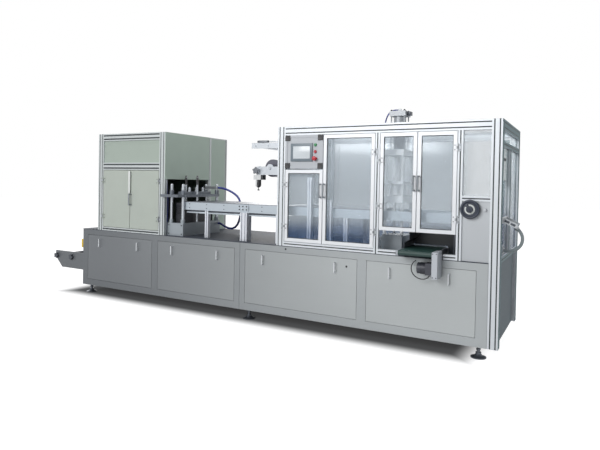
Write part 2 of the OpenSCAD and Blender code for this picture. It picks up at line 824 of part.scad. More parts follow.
module cabinet_panels() {
    low = table_z + pitch - sheet_bite;
    high = beam_z + sheet_bite;
    back_y = depth - sheet_front - sheet_t;
    left_x = cabinet_x + sheet_front;
    color(cream) {
        sheet_x(cabinet_x + post, cabinet_x1 - post, cabinet_mid_z + post - sheet_bite, high, sheet_front);
        sheet_x(cabinet_x + post, cabinet_x1 - post, low, high, back_y);
        sheet_y(pitch, rear_y, low, high, left_x);
        block([cabinet_x1, 2, film_opening_z], [cabinet_x1 + cover_t, cabinet_post_y + 6, top_z]);
        block([cabinet_x1, cabinet_post_y + pitch + 2, table_z + 2],
              [cabinet_x1 + cover_t, rear_y - 2, top_z - 14]);
        roof_sheet(cabinet_x, cabinet_x1, pitch);
    }
}

module cabinet_door(x0, x1, side) {
    pin_x = side < 0 ? x0 - door_gap / 2 : x1 + door_gap / 2;
    color(cream) {
        difference() {
            block([x0, 0, cabinet_door_z0], [x1, cabinet_door_t, cabinet_door_z1]);
            block([x0 + 14, door_skin, cabinet_door_z0 + 14],
                  [x1 - 14, cabinet_door_t - door_skin, cabinet_door_z1 - 14]);
            block([x0 + 26, door_skin, cabinet_door_z0 + 26],
                  [x1 - 26, cabinet_door_t + 1, cabinet_door_z1 - 26]);
        }
        for (z = cabinet_hinge_zs) hinge_half(pin_x, z, -side, [0, 2]);
    }
}

module cabinet_door_left() {
    cabinet_door(cabinet_x + post + door_gap, cabinet_split - meeting_gap / 2, -1);
}

module cabinet_door_right() {
    cabinet_door(cabinet_split + meeting_gap / 2, cabinet_x1 - post - door_gap, 1);
}

module cabinet_handle() {
    color(bright_steel)
        bow(cabinet_split + meeting_gap / 2 + handle_inset, cabinet_handle_z, handle_h, handle_out, handle_r);
}

module hinge_leaves() {
    color(aluminium) {
        for (z = cabinet_hinge_zs) {
            hinge_half(cabinet_x + post + door_gap / 2, z, -1, [1]);
            hinge_half(cabinet_x1 - post - door_gap / 2, z, 1, [1]);
        }
        for (d = doors, z = d[5])
            hinge_half(d[4] < 0 ? d[0] - door_gap / 2 : d[1] + door_gap / 2, z, d[4], [1]);
    }
}

// Forming press
module forming_block() {
    color(aluminium) {
        block([forming_x, forming_y, table_z], [forming_x1, forming_y + forming_l, forming_top]);
        for (x = column_xs, y = column_ys) translate([x, y, forming_top - 1]) difference() {
            cylinder(h = collar_h + 1, r = collar_r);
            translate([0, 0, 1]) cylinder(h = collar_h + 1, r = column_r);
        }
    }
}

module forming_columns() {
    color(bright_steel) {
        for (x = column_xs, y = column_ys) translate([x, y, forming_top])
            cylinder(h = column_top - forming_top, r = column_r);
        for (x = column_xs) translate([x, rod_y, forming_top])
            cylinder(h = lift_rod_top - forming_top, r = lift_rod_r);
        block([column_xs[0], column_ys[1] - 14, manifold_z],
              [manifold_x1, column_ys[1] + 14, manifold_z + manifold_h]);
    }
}

module forming_platen() {
    x0 = forming_x + 8;
    x1 = forming_x1 - 8;
    bush_r = column_r + 9;
    color(dark) difference() {
        union() {
            block([x0, -platen_front, platen_z], [x1, forming_y + forming_l - 8, platen_z + platen_t]);
            block([cabinet_x1 - 22, -platen_front, platen_z], [x0 + 1, -6, platen_z + platen_t]);
            block([x0 + 52, column_ys[0] + 60, platen_z + platen_t - 1],
                  [x1 - 52, column_ys[1] - 70, platen_z + platen_t + 30]);
            for (x = column_xs, y = column_ys) translate([x, y, platen_z + platen_t - 1])
                cylinder(h = bush_h + 1, r = bush_r);
        }
        for (x = column_xs, y = column_ys) translate([x, y, platen_z - 1])
            cylinder(h = platen_t + bush_h + 2, r = column_r + bush_fit);
        for (x = column_xs) translate([x, rod_y, platen_z - 1])
            cylinder(h = platen_t + 40, r = lift_rod_r + bush_fit);
    }
}

module forming_core() {
    x0 = column_xs[0] + core_inset;
    x1 = column_xs[1] - core_inset;
    y0 = column_ys[0] + core_inset;
    y1 = column_ys[1] - core_inset;
    first = core_top - 4.7 * fin_step;
    color(dark) difference() {
        block([x0, y0, forming_top], [x1, y1, core_top]);
        for (k = [0 : 3]) block([x0 - 1, y0 - 1, first + fin_step * k],
                                [x1 + 1, y0 + fin_depth, first + fin_step * (k + 0.45)]);
    }
}

module forming_hose() {
    color(blue) tube(forming_hose_route, forming_hose_r);
}

// Film track
module film_rails() {
    splice = forming_x1 + splice_x;
    color(aluminium) {
        for (y = [track_y, track_y1 - rail_t])
            block([track_x0, y, track_z], [track_x1, y + rail_t, track_top]);
        block([forming_x1, track_y - 6, track_z], [track_x1, track_y + 1, track_z + 14]);
        block([splice, track_y - 8, track_z + 14], [splice + splice_w, track_y + 1, track_top - 4]);
    }
}

module film_bed() {
    color(steel) block([bed_x0, track_y, track_top], [bed_x1, track_y1, track_top + bed_t]);
}

module rail_supports() {
    x1 = forming_x1 + first_support;
    x2 = x1 + second_support;
    rear_y0 = track_y1 - rail_t / 2;
    inner_x = left_bay_x0 + fourth_support;
    color(aluminium) {
        for (x = [x1, enclosure_x0 - third_support, inner_x])
            post_bar(x, track_y + rail_t / 2 - pitch / 2, table_z, track_z, pitch, pitch);
        post_bar(x2, track_y + rail_t / 2 - pitch, table_z, track_z, post, post);
        post_bar(forming_x1 + first_rear_support, rear_y0 - pitch, table_z, track_z, post, post);
        for (x = [enclosure_x0 - second_rear_support, inner_x])
            post_bar(x, rear_y0 - pitch / 2, table_z, track_z, pitch, pitch);
        for (g = [[tall_guide_x, tall_guide_h], [short_guide_x, short_guide_h]])
            post_bar(left_bay_x0 + g[0], track_y - 8 - pitch, table_z, track_top + g[1], pitch, pitch);
    }
}

// Foil arms
module arm_plate(y, l, z, h, holes, lugs) {
    color(aluminium) difference() {
        union() {
            block([enclosure_x0 - l, y, z], [arm_x1, y + arm_t, z + h]);
            for (c = lugs) translate([c[0], y, c[1]]) rotate([-90, 0, 0]) cylinder(h = arm_t, r = c[2]);
        }
        for (c = holes) translate([c[0], y - 1, c[1]]) rotate([-90, 0, 0])
            cylinder(h = arm_t + 2, r = c[2]);
    }
}

module foil_arms() {
    pin_hole = 8.2;
    for (y = [arm_y0, arm_post_y - arm_t]) {
        arm_plate(y, upper_arm_l, upper_arm_z, upper_arm_h,
            [for (c = upper_rollers) [c[0], c[1], pin_hole]], []);
        arm_plate(y, lower_arm_l, lower_arm_z, lower_arm_h,
            [[lower_roller[0], lower_roller[1], pin_hole], [reel_cx, reel_cz, reel_shaft_r + 0.2]],
            [[reel_cx, reel_cz, reel_lug_r], [lower_roller[0] + 26, reel_cz, roller_r]]);
    }
}

module roller(c) {
    y0 = arm_y0 + arm_t + 4;
    y1 = arm_post_y - arm_t - 4;
    translate([c[0], y0, c[1]]) rotate([-90, 0, 0]) cylinder(h = y1 - y0, r = roller_r);
    translate([c[0], arm_y0 - 6, c[1]]) rotate([-90, 0, 0]) cylinder(h = arm_post_y - arm_y0 + 12, r = 8);
}

module arm_rollers() {
    color(bright_steel) {
        for (c = upper_rollers) roller(c);
        roller(lower_roller);
        translate([reel_cx, arm_y0 - 8, reel_cz]) rotate([-90, 0, 0])
            cylinder(h = arm_post_y - arm_y0 + 16, r = reel_shaft_r);
        translate([lower_roller[0], arm_y0 - 28, lower_roller[1]]) rotate([-90, 0, 0])
            cylinder(h = 24, r = knob_r - 6);
    }
}

module foil_reel() {
    color(dark) translate([reel_cx, reel_y0, reel_cz]) rotate([-90, 0, 0]) difference() {
        union() {
            cylinder(h = reel_y1 - reel_y0, r = reel_r);
            translate([0, 0, -30]) cylinder(h = reel_y1 - reel_y0 + 60, r = reel_core_r);
        }
        translate([0, 0, -31]) cylinder(h = reel_y1 - reel_y0 + 62, r = reel_shaft_r + reel_fit);
    }
}

module filter_regulator() {
    x = enclosure_x0 - lower_arm_l + 21;
    y = arm_y0 + arm_t / 2;
    color(black) {
        block([x - 40, y - 26, lower_arm_z - 48], [x + 67, y + 26, lower_arm_z]);
        translate([x, y, lower_arm_z - 152]) rotate_extrude()
            polygon([[0, 0], [12, 0], [12, 8], [4, 12], [4, 26], [22, 38], [27, 50], [27, 107], [0, 107]]);
    }
}

// Sealing enclosure
module enclosure_posts() {
    color(aluminium) {
        for (y = [0, depth - post]) {
            post_bar(enclosure_x0, y, table_z, top_z, post, post);
            post_bar(base_l, y, base_z, top_z, post, post);
        }
        for (x = [left_bay_x1, right_bay_x1]) post_bar(x, 0, table_z, beam_z, pitch, pitch);
        post_bar(left_bay_x1, rear_y, table_z, beam_z, pitch, pitch);
        post_bar(left_bay_x0 - pitch, arm_post_y, table_z, beam_z, pitch, pitch);
        post_bar(enclosure_x1 - pitch, end_mullion_y, table_z + pitch, end_rail_z, pitch, pitch);
    }
}

module enclosure_rails() {
    color(aluminium) {
        for (y = [0, rear_y]) rail_x(left_bay_x0, base_l, y, beam_z, pitch, post);
        for (x = [enclosure_x0, enclosure_x1 - pitch]) rail_y(post, depth - post, x, beam_z, pitch, post);
        rail_x(left_bay_x0, left_bay_x1, 0, table_z, pitch, pitch);
        rail_x(right_bay_x0, rail_break_x0, 0, table_z, pitch, pitch);
        rail_x(rail_break_x1, right_bay_x1, 0, table_z, pitch, pitch);
        rail_x(window_x0, window_x1, 0, window_rail_z, pitch, pitch);
        rail_x(left_bay_x0, left_bay_x1, rear_y, table_z, pitch, pitch);
        rail_x(right_bay_x0, base_l, rear_y, table_z, pitch, pitch);
        rail_y(post, depth - post, enclosure_x1 - pitch, table_z, pitch, pitch);
        rail_y(post, depth - post, enclosure_x1 - pitch, end_rail_z, pitch, pitch);
    }
}

module fixed_glazing() {
    high = beam_z + sheet_bite;
    low = table_z + pitch - sheet_bite;
    back_y = depth - sheet_front - sheet_t;
    end_x = enclosure_x1 - sheet_front - sheet_t;
    hole = tie_out + tie_r + roof_hole_gap;
    color(frosted) {
        sheet_x(window_x0, window_x1, window_rail_z + pitch - sheet_bite, high, sheet_front);
        sheet_x(left_bay_x0, left_bay_x1, low, high, back_y);
        sheet_x(right_bay_x0, base_l, low, high, back_y);
        sheet_y(post, depth - post, end_rail_z + pitch - sheet_bite, high, end_x);
        sheet_y(post, end_mullion_y, low, end_rail_z + sheet_bite, end_x);
        sheet_y(end_mullion_y + pitch, depth - post, low, end_rail_z + sheet_bite, end_x);
        difference() {
            roof_sheet(enclosure_x0, enclosure_x1, post);
            block([press_cx - hole, press_y - hole, beam_z], [press_cx + hole, press_y + hole, top_z]);
        }
    }
}

module handwheel_panel() {
    color(steel) {
        sheet_x(window_x0, window_x1, table_z, window_rail_z + sheet_bite, sheet_front);
        translate([wheel_cx, sheet_front + 1, wheel_z]) rotate([90, 0, 0]) {
            cylinder(h = sheet_front + 7, r = 32);
            cylinder(h = sheet_front + 46, r = wheel_shaft_r);
        }
        translate([window_x1 - 38, sheet_front + 1, wheel_z]) rotate([90, 0, 0]) cylinder(h = 24, r = 12);
    }
}

module handwheel() {
    rim = wheel_r - wheel_rim_r;
    bore = wheel_shaft_r + wheel_fit;
    color(dark) translate([wheel_cx, -6.3, wheel_z]) rotate([90, 0, 0]) rotate_extrude() {
        translate([bore, 0]) square([26 - bore, 34]);
        translate([bore, 8]) square([rim - bore, 9]);
        translate([rim, 13]) circle(wheel_rim_r);
        translate([30, 16]) square([8, 5]);
    }
}

module control_box() {
    x0 = left_bay_x0;
    x1 = first_split;
    color(aluminium) difference() {
        block([x0, 0, control_z], [x1, control_d, beam_z]);
        block([x0 + 22, -1, control_z + 22], [x1 - 22, 4, beam_z - 22]);
    }
    color(aluminium) block([window_x1, post, end_rail_z - terminal_h],
                           [enclosure_x1 - 2 * sheet_front, end_mullion_y, end_rail_z]);
}

module operator_panel() {
    x0 = left_bay_x0 + 60;
    z0 = control_z + 66;
    button_x = x0 + screen_w + 27;
    top_button_z = z0 + screen_h - 16;
    color(steel) {
        difference() {
            block([x0, -screen_proud, z0], [x0 + screen_w, 4, z0 + screen_h]);
            block([x0 + 26, -screen_proud - 1, z0 + 22],
                  [x0 + screen_w - 26, -screen_proud + 2, z0 + screen_h - 26]);
        }
        for (k = [0 : 1]) translate([button_x, 4, top_button_z - k * button_step]) rotate([90, 0, 0]) {
            cylinder(h = 10, r = button_r);
            cylinder(h = 14, r = button_r - 3);
        }
        translate([button_x, 4, top_button_z - 2 * button_step]) rotate([90, 0, 0]) rotate_extrude()
            polygon([[0, 0], [button_r + 2, 0], [button_r + 2, 8], [button_r - 3, 10], [button_r - 3, 18],
                     [stop_r, 22], [stop_r, 30], [stop_r - 5, 34], [0, 35]]);
    }
}

module door_frame(d) {
    x0 = d[0];
    x1 = d[1];
    pin_x = d[4] < 0 ? x0 - door_gap / 2 : x1 + door_gap / 2;
    groove_y = (frame_t - glass_t) / 2;
    color(aluminium) {
        difference() {
            block([x0, 0, d[2]], [x1, frame_t, d[3]]);
            block([x0 + frame_w, -1, d[2] + frame_w], [x1 - frame_w, frame_t + 1, d[3] - frame_w]);
            block([x0 + frame_w - glass_bite, groove_y, d[2] + frame_w - glass_bite],
                  [x1 - frame_w + glass_bite, groove_y + glass_t, d[3] - frame_w + glass_bite]);
        }
        for (z = d[5]) hinge_half(pin_x, z, -d[4], [0, 2]);
    }
}

module door_glass(d) {
    inset = frame_w - glass_bite;
    y = (frame_t - glass_t) / 2;
    color(frosted) block([d[0] + inset, y, d[2] + inset], [d[1] - inset, y + glass_t, d[3] - inset]);
}

module door_handle(d) {
    color(bright_steel)
        bow(d[4] < 0 ? d[1] - handle_inset : d[0] + handle_inset, d[6], handle_h, handle_out, handle_r);
}

// Sealing press
module press_frame() {
    color(bright_steel) {
        block([press_cx - press_w / 2, press_y - press_l / 2, table_z],
              [press_cx + press_w / 2, press_y + press_l / 2, press_block_z]);
        for (x = [-1, 1], y = [-1, 1])
            translate([press_cx + x * press_column_dx, press_y + y * press_column_dy, press_block_z - 1])
                cylinder(h = bridge_z - press_block_z + 2, r = press_column_r);
        translate([press_cx - comb_l / 2, press_y - press_l / 2 + comb_t, press_block_z])
            rotate([90, 0, 0]) linear_extrude(comb_t) polygon(concat(
                [[0, -1]],
                [for (i = [0 : comb_teeth - 1], half = [0, 1])
                    [(i + half / 2) * comb_pitch, half == 0 ? comb_h / 4 : comb_h]],
                [[comb_l, comb_h / 4], [comb_l, -1]]));
        block([press_cx - press_w / 2, press_y - press_l / 2, bridge_z],
              [press_cx + press_w / 2, press_y + press_l / 2, bridge_z + bridge_t]);
    }
}

module press_head() {
    fit = 0.5;
    low = press_block_z + head_lift;
    high = low + head_t + head_gap;
    color(aluminium) difference() {
        union() {
            for (plate = [[low, head_t], [high, head_top_t]])
                block([press_cx - press_w / 2, press_y - press_l / 2, plate[0]],
                      [press_cx + press_w / 2, press_y + press_l / 2, plate[0] + plate[1]]);
            for (x = [-1, 1], y = [-1, 1])
                translate([press_cx + x * press_w / 5, press_y + y * press_l / 5, low + head_t - 1])
                    cylinder(h = head_gap + 2, r = 12);
            translate([press_cx, press_y, high + head_top_t - 1])
                cylinder(h = bridge_z - high - head_top_t + 1, r = 22);
        }
        for (x = [-1, 1], y = [-1, 1])
            translate([press_cx + x * press_column_dx, press_y + y * press_column_dy, press_block_z])
                cylinder(h = bridge_z - press_block_z, r = press_column_r + fit);
    }
}

module press_cylinder() {
    rise = cap_z + 1 - cylinder_z;
    top = cap_z + cap_h;
    color(bright_steel) {
        translate([press_cx, press_y, cylinder_z]) cylinder(h = rise, r = barrel_r);
        block([press_cx - cap_w / 2, press_y - cap_w / 2, cap_z],
              [press_cx + cap_w / 2, press_y + cap_w / 2, top]);
        for (x = [-1, 1], y = [-1, 1])
            translate([press_cx + x * tie_out, press_y + y * tie_out, cylinder_z])
                cylinder(h = rise, r = tie_r);
        translate([press_cx, press_y, top - 1]) cylinder(h = 9, r = 10);
        block([press_cx - 18, press_y - 8, top + 7], [press_cx + 10, press_y + 8, top + 24]);
    }
}

// Outfeed conveyor
module outfeed_frame() {
    z1 = belt_z + belt_h - 4;
    y0 = -outfeed_reach + 8;
    color(aluminium) {
        block([belt_x0 - outfeed_side_t - 2, y0, belt_z - 4], [belt_x0 - 2, outfeed_in, z1]);
        block([drive_x0, 40, belt_z - 4], [drive_x0 + outfeed_side_t, outfeed_in, z1]);
        block([drive_x0, -outfeed_reach, table_z - drive_drop],
              [drive_x0 + drive_w, -7, belt_z + belt_h + 4]);
        block([drive_x0, -8, belt_z - 4], [drive_x0 + outfeed_side_t, 41, z1]);
        for (y = [120, outfeed_in - 40]) block([belt_x0 - outfeed_side_t - 2, y, table_z],
            [drive_x0 + outfeed_side_t, y + 30, belt_z]);
    }
}

module outfeed_belt() {
    r = belt_roller_r + belt_t;
    ends = [-outfeed_reach + r, outfeed_in - r];
    color([0.05, 0.22, 0.18])
        translate([belt_x0, 0, belt_z + r]) rotate([90, 0, 90]) linear_extrude(belt_w) {
            translate([ends[0], -r]) square([ends[1] - ends[0], 2 * r]);
            for (y = ends) translate([y, 0]) circle(r);
        }
}

module outfeed_motor() {
    gear = 92;
    color(dark) {
        block([drive_x0 - 58, motor_y - gear / 2, motor_z - gear / 2],
              [drive_x0, motor_y + gear / 2, motor_z + gear / 2]);
        translate([drive_x0 - 57, motor_y, motor_z]) rotate([0, -90, 0]) {
            cylinder(h = 70, r = motor_r);
            for (k = [0 : 3]) translate([0, 0, 6 + 12 * k]) cylinder(h = 5, r = motor_r + 3);
        }
    }
}

module motor_lead() {
    color(black) tube(motor_lead_route, motor_lead_r);
}

// Black tunnel over the belt, open to the front; its left wall has a sloped shoulder
module discharge_chute() {
    x0 = belt_x0 - outfeed_side_t - 2;
    x1 = right_bay_x1 - hood_side;
    y0 = pitch + 6;
    y1 = outfeed_in - 30;
    low = belt_z + belt_h - 4;
    top = table_z + hood_h;
    knee = [x0, low + 48];
    shoulder = [x0 + 45, low + 75];
    foot_x = belt_x1 + outfeed_side_t + 4;
    curtain_z = low + 12;
    turns = [0 : 15 : 90];
    bend = [x1 - hood_bend, table_z + hood_bend];
    outer = [for (a = turns) bend + hood_bend * [cos(a), -sin(a)]];
    inner = [for (a = turns) bend + (hood_bend - hood_t) * [sin(a), -cos(a)]];
    front = [knee, shoulder, [shoulder[0], top], [x1, top]];
    color(black) {
        translate([0, y1, 0]) rotate([90, 0, 0]) linear_extrude(y1 - y0) polygon(concat(
            [[x0, low]], front, outer, [[foot_x, table_z], [foot_x, table_z + hood_t]], inner,
            [[x1 - hood_t, top - hood_t], [shoulder[0] + hood_t, top - hood_t],
             [shoulder[0] + hood_t, shoulder[1] - hood_t / 2], [x0 + hood_t, knee[1] - hood_t / 2],
             [x0 + hood_t, low]]));
        translate([0, y1, 0]) rotate([90, 0, 0]) linear_extrude(hood_t) polygon(concat(
            [[x0, curtain_z]], front, outer, [[foot_x, table_z], [foot_x, curtain_z]]));
    }
}

// Right end
module end_bracket() {
    y1 = bracket_y + bracket_w;
    half = bracket_half;
    run = bracket_run;
    gland = conduit_route[len(conduit_route) - 1];
    color(bright_steel) {
        block([enclosure_x1, post / 2, bracket_z - 26], [enclosure_x1 + 8, y1, bracket_z + 22]);
        intersection() {
            translate([enclosure_x1, 0, bracket_z]) rotate([0, bracket_fall, 0]) {
                for (y = [bracket_y, y1 - 8]) block([-20, y, -half], [run, y + 8, half]);
                for (x = [run * 0.36, run * 0.68])
                    block([x, bracket_y + 1, -half + 4], [x + 12, y1 - 1, -half + 16]);
                block([run - 32, bracket_y + 1, -half], [run, y1 - 1, -half + 8]);
            }
            block([enclosure_x1, 0, 0], [enclosure_x1 + 2 * bracket_reach, depth, top_z]);
        }
        translate(conduit_place) rotate([0, 90 + conduit_fall, 0]) translate([0, 0, -socket_l])
            cylinder(h = socket_l, r = conduit_r + 5);
        translate([enclosure_x1 - sheet_front, gland[1], gland[2]]) rotate([0, 90, 0])
            cylinder(h = sheet_front, r = conduit_r + 11);
    }
}

module end_conduit() {
    color([0.45, 0.46, 0.48]) tube(conduit_route, conduit_r);
}

module cylinder_hose() {
    color(blue) tube(cylinder_hose_route, cylinder_hose_r);
}

module cabinet_hose() {
    color(blue) tube(cabinet_hose_route, cabinet_hose_r);
}

translate(-middle) base_left_housing();
translate(-middle) base_right_housing();
translate(-middle) table_plates();
translate(-middle) front_panels();
translate(-middle) rear_panels();
translate(-middle) panel_pulls();
translate(-middle) levelling_feet();
translate(-middle) main_switch();
translate(-middle) unwind_bracket();
translate(-middle) unwind_shafts();
translate(-middle) cabinet_posts();
translate(-middle) cabinet_rails();
translate(-middle) cabinet_panels();
translate(-middle) cabinet_door_left();
translate(-middle) cabinet_door_right();
translate(-middle) cabinet_handle();
translate(-middle) hinge_leaves();
translate(-middle) forming_block();
translate(-middle) forming_columns();
translate(-middle) forming_platen();
translate(-middle) forming_core();
translate(-middle) forming_hose();
translate(-middle) film_rails();
translate(-middle) film_bed();
translate(-middle) rail_supports();
translate(-middle) foil_arms();
translate(-middle) arm_rollers();
translate(-middle) foil_reel();
translate(-middle) filter_regulator();
translate(-middle) enclosure_posts();
translate(-middle) enclosure_rails();
translate(-middle) fixed_glazing();
translate(-middle) handwheel_panel();
translate(-middle) handwheel();
translate(-middle) control_box();
translate(-middle) operator_panel();
translate(-middle) door_frame(doors[0]);  // door_1_frame
translate(-middle) door_glass(doors[0]);  // door_1_glass
translate(-middle) door_handle(doors[0]);  // door_1_handle
translate(-middle) door_frame(doors[1]);  // door_2_frame
translate(-middle) door_glass(doors[1]);  // door_2_glass
translate(-middle) door_handle(doors[1]);  // door_2_handle
translate(-middle) door_frame(doors[2]);  // door_3_frame
translate(-middle) door_glass(doors[2]);  // door_3_glass
translate(-middle) door_handle(doors[2]);  // door_3_handle
translate(-middle) door_frame(doors[3]);  // door_4_frame
translate(-middle) door_glass(doors[3]);  // door_4_glass
translate(-middle) door_handle(doors[3]);  // door_4_handle
translate(-middle) press_frame();
translate(-middle) press_head();
translate(-middle) press_cylinder();
translate(-middle) outfeed_frame();
translate(-middle) outfeed_belt();
translate(-middle) outfeed_motor();
translate(-middle) motor_lead();
translate(-middle) discharge_chute();
translate(-middle) end_bracket();
translate(-middle) end_conduit();
translate(-middle) cylinder_hose();
translate(-middle) cabinet_hose();
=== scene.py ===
import math

import bpy
from mathutils import Matrix, Vector


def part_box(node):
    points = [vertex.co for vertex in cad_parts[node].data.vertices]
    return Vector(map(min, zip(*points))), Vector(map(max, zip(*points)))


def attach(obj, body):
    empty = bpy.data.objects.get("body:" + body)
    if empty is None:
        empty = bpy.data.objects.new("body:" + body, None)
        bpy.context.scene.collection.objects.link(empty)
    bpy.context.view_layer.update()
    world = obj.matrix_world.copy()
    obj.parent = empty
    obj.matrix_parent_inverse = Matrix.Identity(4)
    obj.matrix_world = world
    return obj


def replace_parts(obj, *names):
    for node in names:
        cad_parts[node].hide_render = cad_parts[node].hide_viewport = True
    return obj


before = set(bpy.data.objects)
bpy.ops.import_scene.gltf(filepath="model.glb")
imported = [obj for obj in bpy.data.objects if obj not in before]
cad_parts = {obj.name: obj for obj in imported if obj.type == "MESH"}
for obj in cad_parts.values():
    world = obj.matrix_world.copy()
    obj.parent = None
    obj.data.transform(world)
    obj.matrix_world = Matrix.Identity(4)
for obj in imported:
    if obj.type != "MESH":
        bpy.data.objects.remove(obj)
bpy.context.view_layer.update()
bpy.ops.object.select_all(action="DESELECT")


# Camera
# The photograph's own view: a 31 mm lens at 1.34 m, off the right front corner of the base,
# turned 29 degrees to the left and held almost level. Places are taken from the base's front corner.
base_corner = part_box("base_left_housing")[0]
corner = Vector((base_corner.x, base_corner.y, 0))
camera_place = corner + Vector((5.244, -4.138, 1.337))
camera_yaw = math.radians(28.61)
camera_pitch = math.radians(0.89)
camera_roll = math.radians(1.08)
photo_w, photo_h = 600, 450
focal_px = 521.24
axis_px = (306.21, 190.89)
sensor_mm = 36

ahead = Vector((-math.sin(camera_yaw) * math.cos(camera_pitch),
                math.cos(camera_yaw) * math.cos(camera_pitch), -math.sin(camera_pitch)))
level = Vector((math.cos(camera_yaw), math.sin(camera_yaw), 0))
upright = level.cross(ahead)
across = math.cos(camera_roll) * level + math.sin(camera_roll) * upright
upwards = math.cos(camera_roll) * upright - math.sin(camera_roll) * level

camera_data = bpy.data.cameras.new("camera")
camera_data.sensor_width = sensor_mm
camera_data.lens = focal_px / photo_w * sensor_mm
camera_data.shift_x = (photo_w / 2 - axis_px[0]) / photo_w
camera_data.shift_y = (axis_px[1] - photo_h / 2) / photo_w
camera = bpy.data.objects.new("camera", camera_data)
facing = Matrix((across, upwards, -ahead)).transposed().to_4x4()
camera.matrix_world = Matrix.Translation(camera_place) @ facing
bpy.context.scene.collection.objects.link(camera)
bpy.context.scene.camera = camera
bpy.context.scene.view_settings.view_transform = "Standard"


# Studio
# A white room: the background is white to the camera and in reflections, and the floor is a pale sheet
# that is dark under the machine, a painted shadow, and white a hand's width away. Soft lamps stand in
# front, above and behind, and weaker ones at both ends.
class Value:
    """A shader socket whose arithmetic adds Math nodes."""
    def __init__(self, paint, socket):
        self.paint = paint
        self.socket = socket

    def calc(self, operation, other, turned_round=False):
        pair = (other, self) if turned_round else (self, other)
        return self.paint.node("ShaderNodeMath", {"operation": operation}, {0: pair[0], 1: pair[1]})

    def __add__(self, other):
        return self.calc("ADD", other)

    def __sub__(self, other):
        return self.calc("SUBTRACT", other)

    def __rsub__(self, other):
        return self.calc("SUBTRACT", other, turned_round=True)

    def __mul__(self, other):
        return self.calc("MULTIPLY", other)

    def __abs__(self):
        return self.calc("ABSOLUTE", 0)

    def __gt__(self, other):
        return self.calc("GREATER_THAN", other)

    def __lt__(self, other):
        return self.calc("LESS_THAN", other)

    __radd__ = __add__
    __rmul__ = __mul__


class Paint:
    """A node tree, of a material or of the world, that is written as expressions."""
    def __init__(self, name, owner=None):
        self.owner = owner or bpy.data.materials.new(name)
        self.owner.use_nodes = True
        self.tree = self.owner.node_tree
        self.tree.nodes.clear()

    def node(self, kind, settings, sockets, output=0):
        made = self.tree.nodes.new(kind)
        for key, value in settings.items():
            setattr(made, key, value)
        for key, value in sockets.items():
            if isinstance(value, Value):
                self.tree.links.new(value.socket, made.inputs[key])
            else:
                made.inputs[key].default_value = value
        return Value(self, made.outputs[output]) if made.outputs else None

    def place(self, stretch=(1, 1, 1)):
        spot = self.node("ShaderNodeTexCoord", {}, {}, "Object")
        return self.node("ShaderNodeMapping", {}, {"Vector": spot, "Scale": stretch})

    def along(self, axis):
        """How far a point lies along X, Y or Z, in metres."""
        return self.node("ShaderNodeSeparateXYZ", {}, {"Vector": self.place()}, axis)

    def noise(self, scale, stretch=(1, 1, 1), detail=3.0):
        return self.node("ShaderNodeTexNoise", {},
                         {"Vector": self.place(stretch), "Scale": scale, "Detail": detail}, "Fac")

    def fade(self, value, start, end):
        """From 0 where the value is start to 1 where it is end."""
        return self.node("ShaderNodeMapRange", {"interpolation_type": "SMOOTHSTEP"},
                         {"Value": value, "From Min": start, "From Max": end}, "Result")

    def blend(self, share, first, second):
        return self.node("ShaderNodeMix", {"data_type": "RGBA"}, {0: share, 6: first, 7: second}, 2)

    def bump(self, height, strength, distance):
        return self.node("ShaderNodeBump", {}, {"Height": height, "Strength": strength, "Distance": distance})

    def white_rays(self):
        """1 for rays from the camera, from a gloss and through a glass, else 0."""
        kinds = [self.node("ShaderNodeLightPath", {}, {}, kind)
                 for kind in ("Is Camera Ray", "Is Glossy Ray", "Is Transmission Ray")]
        return (kinds[0] + kinds[1] + kinds[2]) > 0.5

    def surface(self, sockets):
        shader = self.node("ShaderNodeBsdfPrincipled", {}, sockets)
        self.node("ShaderNodeOutputMaterial", {}, {"Surface": shader})
        return self.owner


def tint(red, green, blue):
    """A colour as it shows on a screen, 0 to 255, as the linear colour that a shader takes."""
    def linear(level):
        share = level / 255
        return share / 12.92 if share <= 0.04045 else ((share + 0.055) / 1.055) ** 2.4
    return (linear(red), linear(green), linear(blue), 1)


def times(share, colour):
    """A colour made darker or paler by a share."""
    return tuple(min(1, share * c) for c in colour[:3]) + (1,)


room = bpy.data.worlds.new("room")
bpy.context.scene.world = room
sky = Paint("room", room)
ambient = 0.16
white = (1, 1, 1, 1)
glow = sky.node("ShaderNodeBackground", {},
                {"Color": white, "Strength": sky.white_rays() * (1 - ambient) + ambient})
sky.node("ShaderNodeOutputWorld", {}, {"Surface": glow})

floor_size = 60
shadow_start, shadow_end = -0.12, 0.16
glow_start, glow_end = 0.3, 2.5
near_glow, far_glow, least_glow = 0.86, 0.1, 0.04
painted_floor_shadow = (0.10, 0.105, 0.11, 1)
open_sheet = (0.45, 0.45, 0.46, 1)
bpy.ops.mesh.primitive_plane_add(size=floor_size, location=(0, 0, 0))
floor = bpy.context.object
floor.name = "floor"
ground = Paint("floor_sheet")
base_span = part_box("base_right_housing")[1] - base_corner
beside = abs(ground.along("X")) - base_span.x / 2
before = abs(ground.along("Y")) - base_span.y / 2
away = beside.calc("MAXIMUM", before)
floor_lift = ground.fade(away, shadow_start, shadow_end)
whiteness = floor_lift * near_glow + ground.fade(away, glow_start, glow_end) * far_glow + least_glow
# The sheet's colour is darker under the machine: a painted shadow.
sheet = ground.blend(floor_lift, painted_floor_shadow, open_sheet)
matt = ground.node("ShaderNodeBsdfDiffuse", {}, {"Color": sheet})
lift = ground.node("ShaderNodeEmission", {},
                   {"Color": white, "Strength": ground.white_rays() * whiteness})
both = ground.node("ShaderNodeAddShader", {}, {0: matt, 1: lift})
ground.node("ShaderNodeOutputMaterial", {}, {"Surface": both})
floor.data.materials.append(ground.owner)


